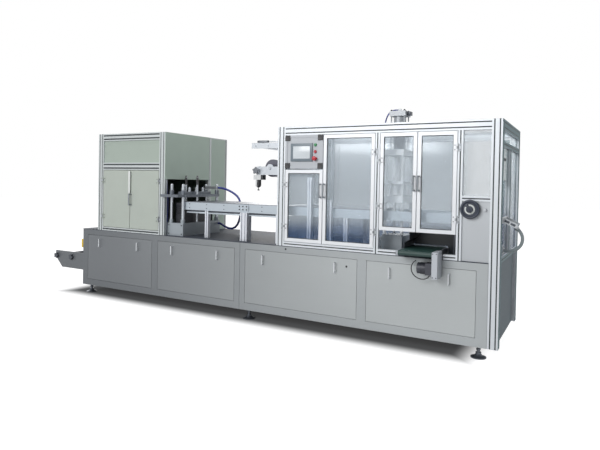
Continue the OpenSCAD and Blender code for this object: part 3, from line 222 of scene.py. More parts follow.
def lamp(name, spot, aim, width, height, power):
    data = bpy.data.lights.new(name, "AREA")
    data.shape = "RECTANGLE"
    data.size = width
    data.size_y = height
    data.energy = power
    made = bpy.data.objects.new(name, data)
    turn = (Vector(aim) - Vector(spot)).to_track_quat("-Z", "Y")
    made.matrix_world = Matrix.Translation(spot) @ turn.to_matrix().to_4x4()
    bpy.context.scene.collection.objects.link(made)


lamp("key_lamp", (-0.9, -8.0, 4.2), (0.4, 0, 0.9), width=6.0, height=3.0, power=455)
lamp("top_lamp", (0.2, -1.0, 6.0), (0, 0.2, 1.0), width=6.0, height=3.0, power=100)
lamp("back_lamp", (-2.5, 7.5, 3.6), (-0.4, 0, 0.9), width=5.0, height=3.0, power=140)
lamp("right_lamp", (7.5, 1.5, 2.6), (2.3, 0, 0.9), width=3.0, height=3.0, power=75)
lamp("left_lamp", (-7.5, 2.5, 3.0), (-2.2, 0, 0.9), width=3.0, height=3.0, power=40)


# Free hoses and cables
# Smooth plastic tubes bent by their own stiffness: blue air hoses at the forming press, in the cabinet and
# at the press cylinder, the motor's black lead and the pale grey conduit at the right end.
def place(x, y, z):
    """A point in millimetres from the base's front corner, as the machine's drawing gives it, in metres."""
    return corner + Vector((x, y, z)) / 1000


def flexible(name, colour, rough):
    paint = Paint(name)
    worn_share, worn_shade, swing = 0.4, 0.6, 0.15
    wear = paint.noise(scale=60, detail=4)
    shade = paint.blend(wear * worn_share, colour, times(worn_shade, colour))
    grain = paint.bump(paint.noise(scale=900), strength=0.15, distance=0.0004)
    return paint.surface({"Base Color": shade, "Roughness": wear * swing + rough, "Normal": grain})


def steps_from(start, steps):
    return [start + Vector(step) / 1000 for step in steps]


def free_tube(name, node, route, radius, paint):
    """One smooth curve through the route's own points, in place of the tube of the CAD model."""
    data = bpy.data.curves.new(name, "CURVE")
    data.dimensions = "3D"
    data.bevel_depth = radius
    data.bevel_resolution = 4
    data.use_fill_caps = True
    line = data.splines.new("POLY")
    line.points.add(len(route) - 1)
    for point, spot in zip(line.points, route):
        point.co = (*spot, 1)
    tube = bpy.data.objects.new(name, data)
    bpy.context.scene.collection.objects.link(tube)
    tube.data.materials.append(paint)
    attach(tube, "machine")
    length = sum((b - a).length for a, b in zip(route, route[1:]))
    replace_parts(tube, node)


hose_blue = flexible("hose_blue", tint(44, 56, 132), rough=0.35)
cable_black = flexible("cable_black", tint(30, 30, 32), rough=0.5)
conduit_grey = flexible("conduit_grey", tint(146, 156, 160), rough=0.4)

forming_route = steps_from(place(1490, 637, 1260), [
    (0, 0, 0), (28, 0, 0), (68, 0, -4), (110, 0, -14), (152, 0, -28), (192, 0, -44),
    (231, 0, -64), (266, 0, -88), (294, 0, -119), (310, 0, -156), (317, 0, -198), (319, 0, -241),
    (316, 0, -284), (309, 0, -327), (296, 0, -369), (276, 0, -408), (247, 0, -438), (208, 0, -455),
    (166, 0, -456), (125, 0, -446), (86, 0, -430), (54, 0, -414), (30, 0, -406), (6, 0, -406)])
free_tube("forming_air_hose", "forming_hose", forming_route, radius=0.012,
          paint=hose_blue)

motor_route = steps_from(place(4181, -80, 680), [
    (-171, 80, 42), (-171, 62, 42), (-175, 46, 36), (-183, 34, 22), (-188, 26, 2), (-187, 20, -19),
    (-180, 14, -40), (-167, 9, -58), (-149, 5, -73), (-128, 2, -83), (-106, 0, -88), (-84, 0, -88),
    (-63, 0, -83), (-46, 0, -74), (-36, 0, -60), (-36, 0, -46)])
free_tube("outfeed_motor_lead", "motor_lead", motor_route, radius=0.004,
          paint=cable_black)

cylinder_route = steps_from(place(3736, 350, 1987), [
    (-18, 0, 16), (-32, 0, 16), (-46, 0, 16), (-60, 0, 14), (-74, 0, 10), (-88, 0, 2),
    (-101, 0, -10), (-113, 0, -26), (-123, 0, -46), (-131, 0, -69), (-136, 0, -94), (-139, 0, -118)])
cylinder_route += steps_from(place(3596, 350, 1831), [(0, 0, 18), (0, 0, 0)])
free_tube("cylinder_air_hose", "cylinder_hose", cylinder_route, radius=0.006,
          paint=hose_blue)

half_right = math.sqrt(0.5)
conduit_bend, conduit_run = 98, 8
conduit_fall, conduit_sweep, bend_steps = 45, 135, 16
conduit_turns = [math.radians(conduit_fall + conduit_sweep * k / bend_steps) for k in range(bend_steps + 1)]
conduit_start = Vector((4758, 189, 1007))
bend_start = conduit_start + conduit_run * Vector((half_right, 0, -half_right))
bend_end = bend_start + conduit_bend * Vector((-half_right, 0, -1 - half_right))
end_face_x = 4658
bend_points = [bend_start + conduit_bend * Vector((math.sin(a) - half_right, 0, math.cos(a) - half_right))
               for a in conduit_turns]
conduit_route = [place(*conduit_start)] + [place(*point) for point in bend_points]
conduit_route += [place(end_face_x + share * (bend_end.x - end_face_x), bend_end.y, bend_end.z)
                  for share in (0.6, 0.3, 0)]
free_tube("end_cable_conduit", "end_conduit", conduit_route, radius=0.0125,
          paint=conduit_grey)

cabinet_route = steps_from(place(1256, 40, 750), [
    (0, 16, 1020), (0, 16, 960), (0, 15, 890), (0, 13, 810), (0, 10, 730), (0, 9, 650), (0, 10, 590),
    (0, 14, 530), (0, 20, 470), (0, 26, 410), (0, 30, 350), (0, 31, 300), (0, 29, 240), (0, 25, 180),
    (0, 20, 120), (0, 18, 60), (0, 18, 0)])
free_tube("cabinet_air_hose", "cabinet_hose", cabinet_route, radius=0.007,
          paint=hose_blue)


# Base
# Two folded stainless cabinets bolted end to end, brushed lengthwise, with lift-off panels in their front
# and back and plates for a table. A painted reflection runs from darker at the left to paler at the right.
def brushed(name, colour, stretch, metal, rough, cloud=0.16, painted_sheen_end=None, shaded_end=None, gloss=0.5):
    """Metal with brush lines along the slow axes of stretch and a broad, uneven sheen.

    It can drift along the machine to the colour of a painted reflection, and can take an end face painted
    with shade, given by its place and colour.
    """
    paint = Paint(name)
    lines = paint.noise(scale=1.0, stretch=stretch, detail=4)
    broad = paint.noise(scale=1.1, stretch=(0.6, 0.6, 1.4), detail=2)
    broad_share = 0.75
    patch = broad * broad_share + lines * (1 - broad_share)
    shade = paint.blend(patch, times(1 - cloud, colour), times(1 + cloud, colour))
    # Painted reflection: the colour drifts along the machine to a paler one.
    if painted_sheen_end:
        far = paint.blend(patch, times(1 - cloud, painted_sheen_end), times(1 + cloud, painted_sheen_end))
        drift_start, drift_end = -2.0, 2.6
        shade = paint.blend(paint.fade(paint.along("X"), drift_start, drift_end), shade, far)
    shine = metal
    swing = 0.18
    grain = lines * swing + (rough - swing / 2)
    # Painted shade: the end face takes a darker colour.
    if shaded_end:
        end_x, end_shade = shaded_end
        hair, end_rough = 0.001, 0.3
        at_end = paint.along("X") > end_x - hair
        shade = paint.blend(at_end, shade, end_shade)
        shine = (1 - at_end) * metal
        grain = grain + at_end * end_rough
    return paint.surface({
        "Base Color": shade,
        "Metallic": shine,
        "Specular IOR Level": gloss,
        "Roughness": grain,
        "Normal": paint.bump(lines, strength=0.06, distance=0.0003)})


def dress(paint, *nodes):
    """CAD pieces take one finish all over."""
    for node in nodes:
        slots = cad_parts[node].data.materials
        slots.clear()
        slots.append(paint)


along_x = (3, 3, 700)
along_y = (3, 700, 3)
# The base's right end face is painted darker with shade.
base_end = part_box("base_right_housing")[1].x
# The base and its panels are darker at the left and drift to a paler painted reflection at the right.
base_steel = brushed("base_steel", tint(110, 114, 118), along_x, metal=0.2, rough=0.42, gloss=0.3,
                     painted_sheen_end=tint(178, 183, 185), shaded_end=(base_end, tint(102, 112, 118)))
panel_steel = brushed("panel_steel", tint(112, 116, 120), along_x, metal=0.2, rough=0.40,
                      painted_sheen_end=tint(184, 189, 190))
# The table plates' dark colour is painted shade under the track and press.
table_steel = brushed("table_steel", tint(62, 67, 76), along_y, metal=0.0, rough=0.55, gloss=0.15)
pull_alloy = brushed("pull_alloy", tint(206, 209, 213), along_x, metal=0.6, rough=0.34)
dress(base_steel, "base_left_housing", "base_right_housing")
dress(panel_steel, "front_panels", "rear_panels")
dress(table_steel, "table_plates")
dress(pull_alloy, "panel_pulls")


# Levelling feet
# Turned feet of zinc-plated steel, screwed up into the base, whose dark colour is partly painted shade from
# the base above. A hexagon nut locks each of them once the machine stands level.
def settle(piece, spot, along=(0, 0, 1)):
    """Turn a piece's upright along a direction, carry it to its spot and fix both in its mesh."""
    turn = Vector((0, 0, 1)).rotation_difference(Vector(along)).to_matrix().to_4x4()
    piece.matrix_world = Matrix.Translation(spot) @ turn @ piece.matrix_world
    bpy.ops.object.select_all(action="DESELECT")
    piece.select_set(True)
    bpy.context.view_layer.objects.active = piece
    bpy.ops.object.transform_apply(location=True, rotation=True, scale=True)
    return piece


def turned(name, steps, sides, along=(0, 0, 1)):
    """A turned piece at the origin: a disc drawn up step by step, each a radius and a height in mm."""
    radius, height = steps[0]
    bpy.ops.object.select_all(action="DESELECT")
    bpy.ops.mesh.primitive_circle_add(vertices=sides, radius=radius / 1000, fill_type="NGON",
                                      location=(0, 0, height / 1000))
    piece = bpy.context.object
    piece.name = name
    bpy.ops.object.mode_set(mode="EDIT")
    bpy.ops.mesh.select_all(action="SELECT")
    for next_radius, next_height in steps[1:]:
        bpy.ops.mesh.extrude_region_move(
            TRANSFORM_OT_translate={"value": (0, 0, (next_height - height) / 1000)})
        bpy.ops.transform.resize(value=(next_radius / radius, next_radius / radius, 1),
                                 center_override=(0, 0, next_height / 1000))
        radius, height = next_radius, next_height
    bpy.ops.mesh.select_all(action="SELECT")
    bpy.ops.mesh.normals_make_consistent(inside=False)
    bpy.ops.object.mode_set(mode="OBJECT")
    return settle(piece, (0, 0, 0), along)


def joined(pieces):
    """Several pieces made one, under the name of the first."""
    bpy.ops.object.select_all(action="DESELECT")
    for piece in pieces:
        piece.select_set(True)
    bpy.context.view_layer.objects.active = pieces[0]
    bpy.ops.object.join()
    return settle(pieces[0], (0, 0, 0))


def copied(piece, spots):
    """A set of copies of a piece that was made at the origin, one at each spot."""
    twins = []
    for spot in spots:
        twin = piece.copy()
        twin.data = piece.data.copy()
        twin.location = spot
        bpy.context.scene.collection.objects.link(twin)
        twins.append(twin)
    name = piece.name
    bpy.data.objects.remove(piece)
    twins[0].name = name
    return joined(twins)


def fit(piece, paint, body="machine"):
    """A finished piece gets its material and smooth rounds, and rides on a body."""
    piece.data.materials.clear()
    piece.data.materials.append(paint)
    bpy.ops.object.select_all(action="DESELECT")
    piece.select_set(True)
    bpy.context.view_layer.objects.active = piece
    bpy.ops.object.shade_smooth_by_angle(angle=math.radians(35))
    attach(piece, body)
    return piece


# The feet's dark colour is partly painted shade from the base above.
foot_steel = brushed("foot_steel", tint(92, 96, 103), along_x, metal=0.7, rough=0.34)
dress(foot_steel, "levelling_feet")
foot_spots = [place(x, y, 0) for x in (72, 2336, 4506) for y in (72, 998)]
lock_nut = turned("foot_lock_nuts", [(17, 58), (19, 60), (19, 72), (17, 74)], sides=6)
fit(copied(lock_nut, foot_spots), foot_steel)


# Panel locks
# Two quarter-turn locks in the right cabinet's front: dark moulded rings with a round well for the key,
# pressed into holes in the steel.
def coated(name, colour, rough, metal=0.0):
    """Powder coat or moulded plastic: an even colour with a faint orange peel."""
    paint = Paint(name)
    mottle = paint.noise(scale=7)
    fine = paint.noise(scale=420, detail=2)
    darker, paler, swing = 0.95, 1.04, 0.12
    return paint.surface({
        "Base Color": paint.blend(mottle, times(darker, colour), times(paler, colour)),
        "Metallic": metal,
        "Roughness": mottle * swing + (rough - swing / 2),
        "Normal": paint.bump(fine, strength=0.1, distance=0.0005)})


to_front = (0, -1, 0)
black_plastic = coated("black_plastic", tint(30, 31, 34), rough=0.45)
panel_lock = turned("panel_locks", [(9, 0), (9, 1.6), (7.6, 3), (4.5, 3), (4, 1)], sides=20, along=to_front)
fit(copied(panel_lock, [place(2782, 0, 720), place(3399, 0, 616)]), black_plastic)


# Main switch
# A yellow moulded box screwed to the left end of the base. A black turning handle sits on a round plate
# on its outer face.
def block(name, low, high, edge=1.0):
    """A box between two corners of the drawing, in mm, with its edges rounded off."""
    low, high = place(*low), place(*high)
    bpy.ops.object.select_all(action="DESELECT")
    bpy.ops.mesh.primitive_cube_add(size=1, location=(low + high) / 2)
    piece = bpy.context.object
    piece.name = name
    piece.scale = high - low
    bpy.ops.object.transform_apply(location=True, rotation=True, scale=True)
    bpy.ops.object.mode_set(mode="EDIT")
    bpy.ops.mesh.select_all(action="SELECT")
    bpy.ops.mesh.bevel(offset=edge / 1000, segments=2, affect="EDGES")
    bpy.ops.object.mode_set(mode="OBJECT")
    return piece


to_left = (-1, 0, 0)
switch_low = 522
switch_middle = switch_low + 50
yellow_plastic = coated("yellow_plastic", tint(222, 186, 52), rough=0.4)
switch_box = block("main_switch_box", (-46, 14, switch_low), (0, 74, switch_low + 100), edge=4)
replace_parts(fit(switch_box, yellow_plastic), "main_switch")
switch_plate = turned("switch_plate", [(26, 0), (26, 4), (23, 6)], sides=32, along=to_left)
settle(switch_plate, place(-46, 44, switch_middle))
switch_grip = block("main_switch_handle", (-62, 38, switch_middle - 22),
                    (-46, 50, switch_middle + 22), edge=3)
fit(joined([switch_grip, switch_plate]), black_plastic)


# Film unwind
# Two steel plates stand out from the base's left end on bolted flanges and carry the film shafts. The
# plates have the base's finish, and the shafts are dark turned steel.
def cap_screw(name, radius, along):
    """A socket-head screw, with its head standing at the origin."""
    head = 0.8 * radius
    return turned(name, [(radius, 0), (radius, head - 0.12 * radius), (0.88 * radius, head),
                         (0.52 * radius, head), (0.46 * radius, 0.4 * radius)], sides=12, along=along)


dark_steel = coated("dark_steel", tint(72, 76, 84), rough=0.38, metal=0.4)
screw_steel = coated("screw_steel", tint(58, 60, 66), rough=0.35, metal=0.6)
dress(base_steel, "unwind_bracket")
dress(dark_steel, "unwind_shafts")
unwind_spots = [place(-8, y, z) for y in (38, 74, 608, 644) for z in (262, 434)]
fit(copied(cap_screw("unwind_bolts", radius=6, along=to_left), unwind_spots), screw_steel)


# Heating cabinet
# A frame of slotted aluminium extrusions, with dark strips in its open slots and wider ones over the level
# slots in front and behind: painted shade for the grooves. Cream powder-coated sheets sit in the inner slots,
# a thin cover strip edges the right side's rear sheet, and the two doors meet behind a pale moulded strip.
frame_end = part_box("enclosure_posts")[1].x
drawn_level, drawn_upright = (4, 4, 40), (40, 40, 4)
# The frame's right end faces are painted darker and bluish with shade.
extrusion_alloy = brushed("extrusion_alloy", tint(214, 219, 224), drawn_level, metal=0.25, rough=0.42,
                          cloud=0.04, shaded_end=(frame_end, tint(122, 142, 147)), gloss=0.3)
cabinet_alloy = brushed("cabinet_alloy", tint(196, 202, 203), drawn_level, metal=0.25, rough=0.42, cloud=0.05)
cream_paint = coated("cream_paint", tint(182, 190, 182), rough=0.42)
pale_plastic = coated("pale_plastic", tint(224, 228, 226), rough=0.4)
pull_steel = brushed("pull_steel", tint(132, 138, 143), along_x, metal=0.5, rough=0.3, cloud=0.05)
hinge_alloy = brushed("hinge_alloy", tint(156, 161, 166), along_x, metal=0.5, rough=0.40, cloud=0.06)
# Dark strips in the slots are painted shade for the grooves; the same material makes the doors' rubber seals.
seal_rubber_and_slot_shade = coated("seal_rubber_and_slot_shade", tint(48, 54, 57), rough=0.6)
dress(cabinet_alloy, "cabinet_posts", "cabinet_rails")
dress(cream_paint, "cabinet_door_left", "cabinet_door_right")
sheets = Paint("cabinet_sheets")
# The right side's sheet is greener than the front's, its own tint, and paler as painted light on that side.
side_x = place(1260, 0, 0).x
mottle = sheets.noise(scale=7)
mottle_share, sheet_rough = 0.12, 0.36
sheet_colour = sheets.blend(sheets.along("X") > side_x, tint(170, 182, 173), tint(198, 216, 204))
dress(sheets.surface({
    "Base Color": sheets.blend(mottle * mottle_share, sheet_colour, tint(120, 130, 122)),
    "Roughness": mottle * mottle_share + sheet_rough,
    "Normal": sheets.bump(sheets.noise(scale=420), strength=0.1, distance=0.0005)}), "cabinet_panels")
dress(pull_steel, "cabinet_handle")
dress(hinge_alloy, "hinge_leaves")

slot_half = 4.8
strip_in, strip_out, strip_edge = 4.2, 1.0, 0.6
cover_half, cover_proud = 8, 0.4


def cover_strip(x_pair, z, face=0, out=-1):
    """A wide dark strip over a level slot, a little proud of the face, as painted shade for the groove."""
    depths = sorted((face, face + out * cover_proud))
    low = (x_pair[0], depths[0], z - cover_half)
    high = (x_pair[1], depths[1], z + cover_half)
    return block("slot_strip", low, high, edge=0.3)


def strip_in_front(x_pair, z_pair, face=0, out=-1):
    """A slot strip in a face to the front or back, upright or level: the equal pair is its middle line."""
    (x0, x1), (z0, z1) = x_pair, z_pair
    wide = (slot_half, 0) if x0 == x1 else (0, slot_half)
    depths = sorted((face - out * strip_in, face - out * strip_out))
    low = (x0 - wide[0], depths[0], z0 - wide[1])
    high = (x1 + wide[0], depths[1], z1 + wide[1])
    return block("slot_strip", low, high, edge=strip_edge)


def strip_in_side(y_pair, z_pair, face, out):
    """The same in a face to the left or right."""
    (y0, y1), (z0, z1) = y_pair, z_pair
    wide = (slot_half, 0) if y0 == y1 else (0, slot_half)
    depths = sorted((face - out * strip_in, face - out * strip_out))
    low = (depths[0], y0 - wide[0], z0 - wide[1])
    high = (depths[1], y1 + wide[0], z1 + wide[1])
    return block("slot_strip", low, high, edge=strip_edge)


table, beam_low, frame_top, back = 750, 1770, 1850, 1070
first_slot, second_slot = 20, 60
rear_slot = back - first_slot
front_and_back = ((0, -1), (back, 1))
beam_slots = (beam_low + first_slot, beam_low + second_slot)
cabinet_left, cabinet_right = 252, 1272
post_slots = (cabinet_left + first_slot, cabinet_left + second_slot,
              cabinet_right - second_slot, cabinet_right - first_slot)
rail_span = (332, 1192)
front_rail_slots = (1463, 1503, 770)
side_post_y = 742
side_rail_span = (762, 1030)
cabinet_strips = [strip_in_front((x, x), (table, frame_top), y, out)
                  for y, out in front_and_back for x in post_slots]
cabinet_strips += [cover_strip(rail_span, z, y, out) for y, out in front_and_back for z in beam_slots]
cabinet_strips += [cover_strip(rail_span, z) for z in front_rail_slots]
cabinet_strips += [strip_in_side((y, y), (table, frame_top), cabinet_left, -1)
                   for y in (first_slot, rear_slot)]
cabinet_strips += [strip_in_side((40, 1030), (z, z), cabinet_left, -1) for z in beam_slots]
cabinet_strips += [strip_in_side((rear_slot, rear_slot), (table, frame_top), cabinet_right, 1),
                   strip_in_side((side_post_y, side_post_y), (790, 1340), cabinet_right, 1)]
cabinet_strips += [strip_in_side(side_rail_span, (z, z), cabinet_right, 1) for z in beam_slots]
cabinet_strips[0].name = "cabinet_slot_strips"
fit(joined(cabinet_strips), seal_rubber_and_slot_shade)

side_cover = block("cabinet_side_cover_strip", (cabinet_right, 738, 752),
                   (cabinet_right + 5, 764, 1836), edge=1)
fit(side_cover, cabinet_alloy)
door_front = 1000 * (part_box("cabinet_door_right")[0].y - corner.y)
meeting_strip = block("cabinet_meeting_strip", (750, door_front - 2, 1186), (780, door_front, 1430), edge=0.9)
fit(meeting_strip, pale_plastic, "cabinet_right_leaf")


# Hinge screws
# Two dark socket-head screws hold each hinge leaf: the fixed leaf to its post and the other one to its door,
# with which its screws turn.
leaf_face, leaf_reach, screw_rise, hinge_screw = -4, 20, 18, 4.2
hinges = {
    "cabinet_left_leaf": (334.5, 1, (915, 1325)),
    "cabinet_right_leaf": (1189.5, -1, (915, 1325)),
    "door_1": (2761.5, 1, (933, 1317)),
    "door_2": (3640.5, -1, (931, 1608)),
    "door_3": (3685.5, 1, (1154, 1538)),
    "door_4": (4325.5, -1, (1072, 1635))}


def leaf_spots(x, heights):
    return [place(x, leaf_face, z + rise) for z in heights for rise in (-screw_rise, screw_rise)]


fixed_spots = []
for body, (pin, side, heights) in hinges.items():
    door_set = cap_screw(body + "_hinge_screws", radius=hinge_screw, along=to_front)
    fit(copied(door_set, leaf_spots(pin + side * leaf_reach, heights)), screw_steel, body)
    fixed_spots += leaf_spots(pin - side * leaf_reach, heights)
post_set = cap_screw("post_hinge_screws", radius=hinge_screw, along=to_front)
fit(copied(post_set, fixed_spots), screw_steel)


# Forming press
# A cast block with four chromed columns, on which a dark steel platen slides over the black heated core.
# The columns end in turned domes, the lift rods in black tips, and four small cylinders stand on the platen.
block_paint = brushed("block_paint", tint(150, 158, 164), along_x, metal=0.3, rough=0.36, cloud=0.1)
platen_steel = brushed("platen_steel", tint(104, 110, 118), along_x, metal=0.4, rough=0.36, cloud=0.12)
column_chrome = brushed("column_chrome", tint(190, 195, 201), along_x, metal=0.6, rough=0.22, cloud=0.05)
core_paint = coated("core_paint", tint(34, 36, 42), rough=0.4, metal=0.3)
dress(block_paint, "forming_block")
dress(column_chrome, "forming_columns")
dress(platen_steel, "forming_platen")
dress(core_paint, "forming_core")
column_spots = [place(x, y, 1290) for x in (1308, 1468) for y in (73, 637)]
column_dome = turned("column_domes", [(15, -1), (15, 1), (13, 5), (9, 8.5), (4, 10)], sides=24)
fit(copied(column_dome, column_spots), column_chrome)
rod_tip = turned("lift_rod_tips", [(13, -84), (13, -12), (9, 4), (9, 12), (7.5, 15), (4, 16)], sides=20)
fit(copied(rod_tip, [place(x, 295, 1376) for x in (1308, 1468)]), black_plastic)
small_cylinder = turned("platen_cylinders", [
    (17, -1), (17, 5), (14, 6), (14, 32), (16, 34), (16, 40), (14.5, 42), (6, 42), (6, 50)], sides=28)
cylinder_spots = [place(x, y, 1217) for x, y in ((1362, 180), (1416, 230), (1416, 340), (1416, 450))]
fit(copied(small_cylinder, cylinder_spots), column_chrome, "platen")
block_spots = [place(x, 45, z) for x in (1300, 1476) for z in (772, 862)]
block_screw = cap_screw("forming_block_screws", radius=6, along=to_front)
fit(copied(block_screw, block_spots), screw_steel)


# Film track
# Two machined rails on extrusion posts with a thin steel bed between them. A bolted plate covers the joint
# of the front rail, screws hold the rail to its posts, and a lip runs under it on a web whose dark colour is
# painted shade.
track_alloy = brushed("track_alloy", tint(178, 187, 195), along_x, metal=0.35, rough=0.38, cloud=0.05)
bed_steel = brushed("bed_steel", tint(112, 116, 124), along_x, metal=0.6, rough=0.34, cloud=0.08)
post_alloy = brushed("post_alloy", tint(218, 222, 229), drawn_upright, metal=0.25, rough=0.42, cloud=0.04)
dress(track_alloy, "film_rails")
dress(bed_steel, "film_bed")
dress(post_alloy, "rail_supports")
splice_spots = [place(x, 87, z) for x in (2188, 2231, 2274) for z in (1059, 1091)]
fit(copied(cap_screw("splice_bolts", radius=6.5, along=to_front), splice_spots), screw_steel)
lip_spans = ((1500, 1747), (1787, 2207), (2287, 2609), (2649, 2679))
# The web's dark colour is painted shade under the rail.
lip_webs = [block("rail_lip_webs", (x0, 111, 1012), (x1, 119, 1030), edge=0.8) for x0, x1 in lip_spans]
fit(joined(lip_webs), dark_steel)
lip_flanges = [block("rail_lip_flanges", (x0, 97, 998), (x1, 119, 1012), edge=1) for x0, x1 in lip_spans]
fit(joined(lip_flanges), track_alloy)
rail_spots = [place(x, 95, z) for x in (1540, 1766, 1990, 2450, 2630, 2655) for z in (1052, 1092)]
fit(copied(cap_screw("rail_screws", radius=4.5, along=to_front), rail_spots), screw_steel)


# Foil arms
# Pale machined arms on the enclosure's left post hold the foil reel, its shaft and the guide rollers. A grey
# clamp grips the upper arm, a star knob locks the lower roller, and a filter regulator hangs below.
arm_alloy = brushed("arm_alloy", tint(192, 197, 203), along_x, metal=0.3, rough=0.38, cloud=0.05)
foil_roll = brushed("foil_roll", tint(84, 85, 94), along_y, metal=0.6, rough=0.36, cloud=0.1)
dress(arm_alloy, "foil_arms")
dress(column_chrome, "arm_rollers")
dress(foil_roll, "foil_reel")
clamp_steel = coated("clamp_steel", tint(112, 116, 122), rough=0.4, metal=0.3)
clamp = block("arm_clamp", (2396, 74, 1715), (2520, 98, 1738), edge=4)
fit(clamp, clamp_steel)
clamp_spots = [place(x, 74, 1728) for x in (2404, 2511)]
fit(copied(cap_screw("arm_clamp_screws", radius=5, along=to_front), clamp_spots), screw_steel)
fit(block("arm_stay", (2530, 80, 1721), (2680, 92, 1731), edge=2), arm_alloy)

knob_spot = place(2400, 52, 1446)
lobes, lobe_reach = 5, 0.026
knob_hub = turned("arm_star_knob", [(27, -2), (27, 8), (24, 12), (10, 12), (8, 9)], sides=30, along=to_front)
settle(knob_hub, knob_spot)
lobe = turned("knob_lobe", [(9, -1), (10, 1), (10, 8), (8, 11), (4, 12)], sides=16, along=to_front)
lobe_ring = [knob_spot + Vector((math.sin(turn), 0, math.cos(turn))) * lobe_reach
             for turn in [2 * math.pi * k / lobes for k in range(lobes)]]
fit(joined([knob_hub, copied(lobe, lobe_ring)]), clamp_steel)

bowl_side = place(2410, 0, 0).x
head_side = place(2452, 0, 0).x
bowl_top = place(0, 0, 1357).z
regulator = Paint("regulator_plastic")
in_bowl = regulator.along("Z") < bowl_top
# The bowl's pale left half is a painted reflection; the head's pale body with a dark cap at the right is its
# own colour.
painted_bowl_reflection = in_bowl * (regulator.along("X") < bowl_side)
pale_head = (1 - in_bowl) * (regulator.along("X") < head_side)
pale_part = painted_bowl_reflection + pale_head
scuff = regulator.noise(scale=30)
scuff_dirt, scuff_rough, clean_rough = 0.12, 0.15, 0.3
cleanness = 1 - scuff * scuff_dirt
dress(regulator.surface({
    "Base Color": regulator.blend(pale_part * cleanness, tint(34, 36, 40), tint(226, 229, 230)),
    "Roughness": scuff * scuff_rough + clean_rough}), "filter_regulator")


# Sealing enclosure
# The same slotted extrusions as the cabinet, from the base to the roof, with dark strips in the open slots as
# painted shade for the grooves, and frosted acrylic sheets seated in the inner ones.
dress(extrusion_alloy, "enclosure_posts", "enclosure_rails")
left_face_x, end_post_foot = 2679, 96
front_span, side_span = (2759, 4578), (80, 990)
sill_slot, mullion_y = 770, 475
sill_spans = ((2759, 3643), (3683, 3841), (4231, 4328))
enclosure_strips = []
for y, out in front_and_back:
    enclosure_strips += [strip_in_front((x, x), (table, frame_top), y, out) for x in (2699, 2739)]
    enclosure_strips += [strip_in_front((x, x), (end_post_foot, frame_top), y, out) for x in (4598, 4638)]
    enclosure_strips += [strip_in_front(front_span, (z, z), y, out) for z in beam_slots]
enclosure_strips += [strip_in_front((x, x), (table, beam_low)) for x in (3663, 4348)]
enclosure_strips += [strip_in_front(span, (sill_slot, sill_slot)) for span in sill_spans]
enclosure_strips += [strip_in_front((4368, 4578), (1239, 1239))]
for face, out, foot in ((left_face_x, -1, table), (end_face_x, 1, end_post_foot)):
    enclosure_strips += [strip_in_side((y, y), (foot, frame_top), face, out)
                         for y in (first_slot, second_slot, back - second_slot, rear_slot)]
    enclosure_strips += [strip_in_side(side_span, (z, z), face, out) for z in beam_slots]
enclosure_strips += [strip_in_side(side_span, (z, z), end_face_x, 1) for z in (1663, sill_slot)]
enclosure_strips += [strip_in_side((mullion_y, mullion_y), (790, 1643), end_face_x, 1)]
enclosure_strips[0].name = "enclosure_slot_strips"
fit(joined(enclosure_strips), seal_rubber_and_slot_shade)


# Glazing and glazed doors
# Frosted acrylic: light comes through it softly and what stands behind shows as pale shapes. Three bare
# sheets close the enclosure's left side round the film's way in. Each door is a welded aluminium frame with
# the sheet in its groove, a black seal round the sheet and a satin steel pull.
def frosted(name, colour, low_colour, mist_low, haze, far_haze):
    """Acrylic sheet that lets lamplight in: painted bluer and darker below the track with a blue reflection
    and the shade behind it, and painted with shade along the right end and in the rear corner.

    haze is how dense it looks at the right, and far_haze farther to the left.
    """
    paint = Paint(name)
    low_edge, high_edge = 0.86, 1.04
    rear_y, rear_x = 0.4, 2.33
    end_low, end_high = 0.95, 1.55
    clear_from, hazy_from = 2.2, 1.9
    pane_depth = 0.06
    thick_shade, mist_haze, mist_rough = 0.07, 0.1, 0.08
    lamp_pass, end_clear = 0.95, 0.5
    mist = paint.noise(scale=2.2, detail=2)
    # Below the track the colour is a painted blue reflection and the shade of the space behind.
    height = paint.fade(paint.along("Z"), low_edge, high_edge)
    rear_corner = (paint.along("Y") > rear_y) * (paint.along("X") > rear_x)
    on_end = paint.along("X") > frame_end - pane_depth
    at_end = on_end + rear_corner
    # The right end and the rear corner are painted with shade, dark blue low and pale teal higher up.
    end_height = paint.fade(paint.along("Z"), end_low, end_high)
    end_colour = paint.blend(end_height, tint(48, 70, 102), tint(158, 180, 185))
    thin = paint.blend(at_end > 0.5, paint.blend(height, low_colour, colour), end_colour)
    thick = paint.blend(thick_shade, thin, (0, 0, 0, 1))
    far = paint.fade(paint.along("X"), clear_from, hazy_from) + rear_corner
    lamp_ray = paint.node("ShaderNodeLightPath", {}, {}, "Is Shadow Ray")
    veil = mist * mist_haze + far * (far_haze - haze) + haze
    return paint.surface({
        "Base Color": paint.blend(mist, thick, thin),
        "Roughness": mist * mist_rough + mist_low,
        "Alpha": veil * (1 - lamp_ray * lamp_pass) * (1 - on_end * end_clear),
        "Transmission Weight": 0.55,
        "IOR": 1.1})


door_acrylic = frosted("door_acrylic", tint(202, 211, 218), tint(88, 112, 148),
                       mist_low=0.16, haze=0.4, far_haze=0.4)
clear_acrylic = frosted("clear_acrylic", tint(214, 220, 224), tint(132, 148, 172),
                        mist_low=0.2, haze=0.32, far_haze=0.86)
door_alloy = brushed("door_alloy", tint(226, 229, 233), drawn_level, metal=0.2, rough=0.4, cloud=0.03)
dress(clear_acrylic, "fixed_glazing")
pane_x = (2737, 2741)
inlet_panes = [block("inlet_panes", (pane_x[0], y0, z0), (pane_x[1], y1, z1), edge=0.6)
               for (y0, y1), (z0, z1) in (((106, 606), (1122, 1774)), ((676, 994), (1122, 1774)),
                                          ((76, 994), (786, 1020)))]
fit(joined(inlet_panes), clear_acrylic)


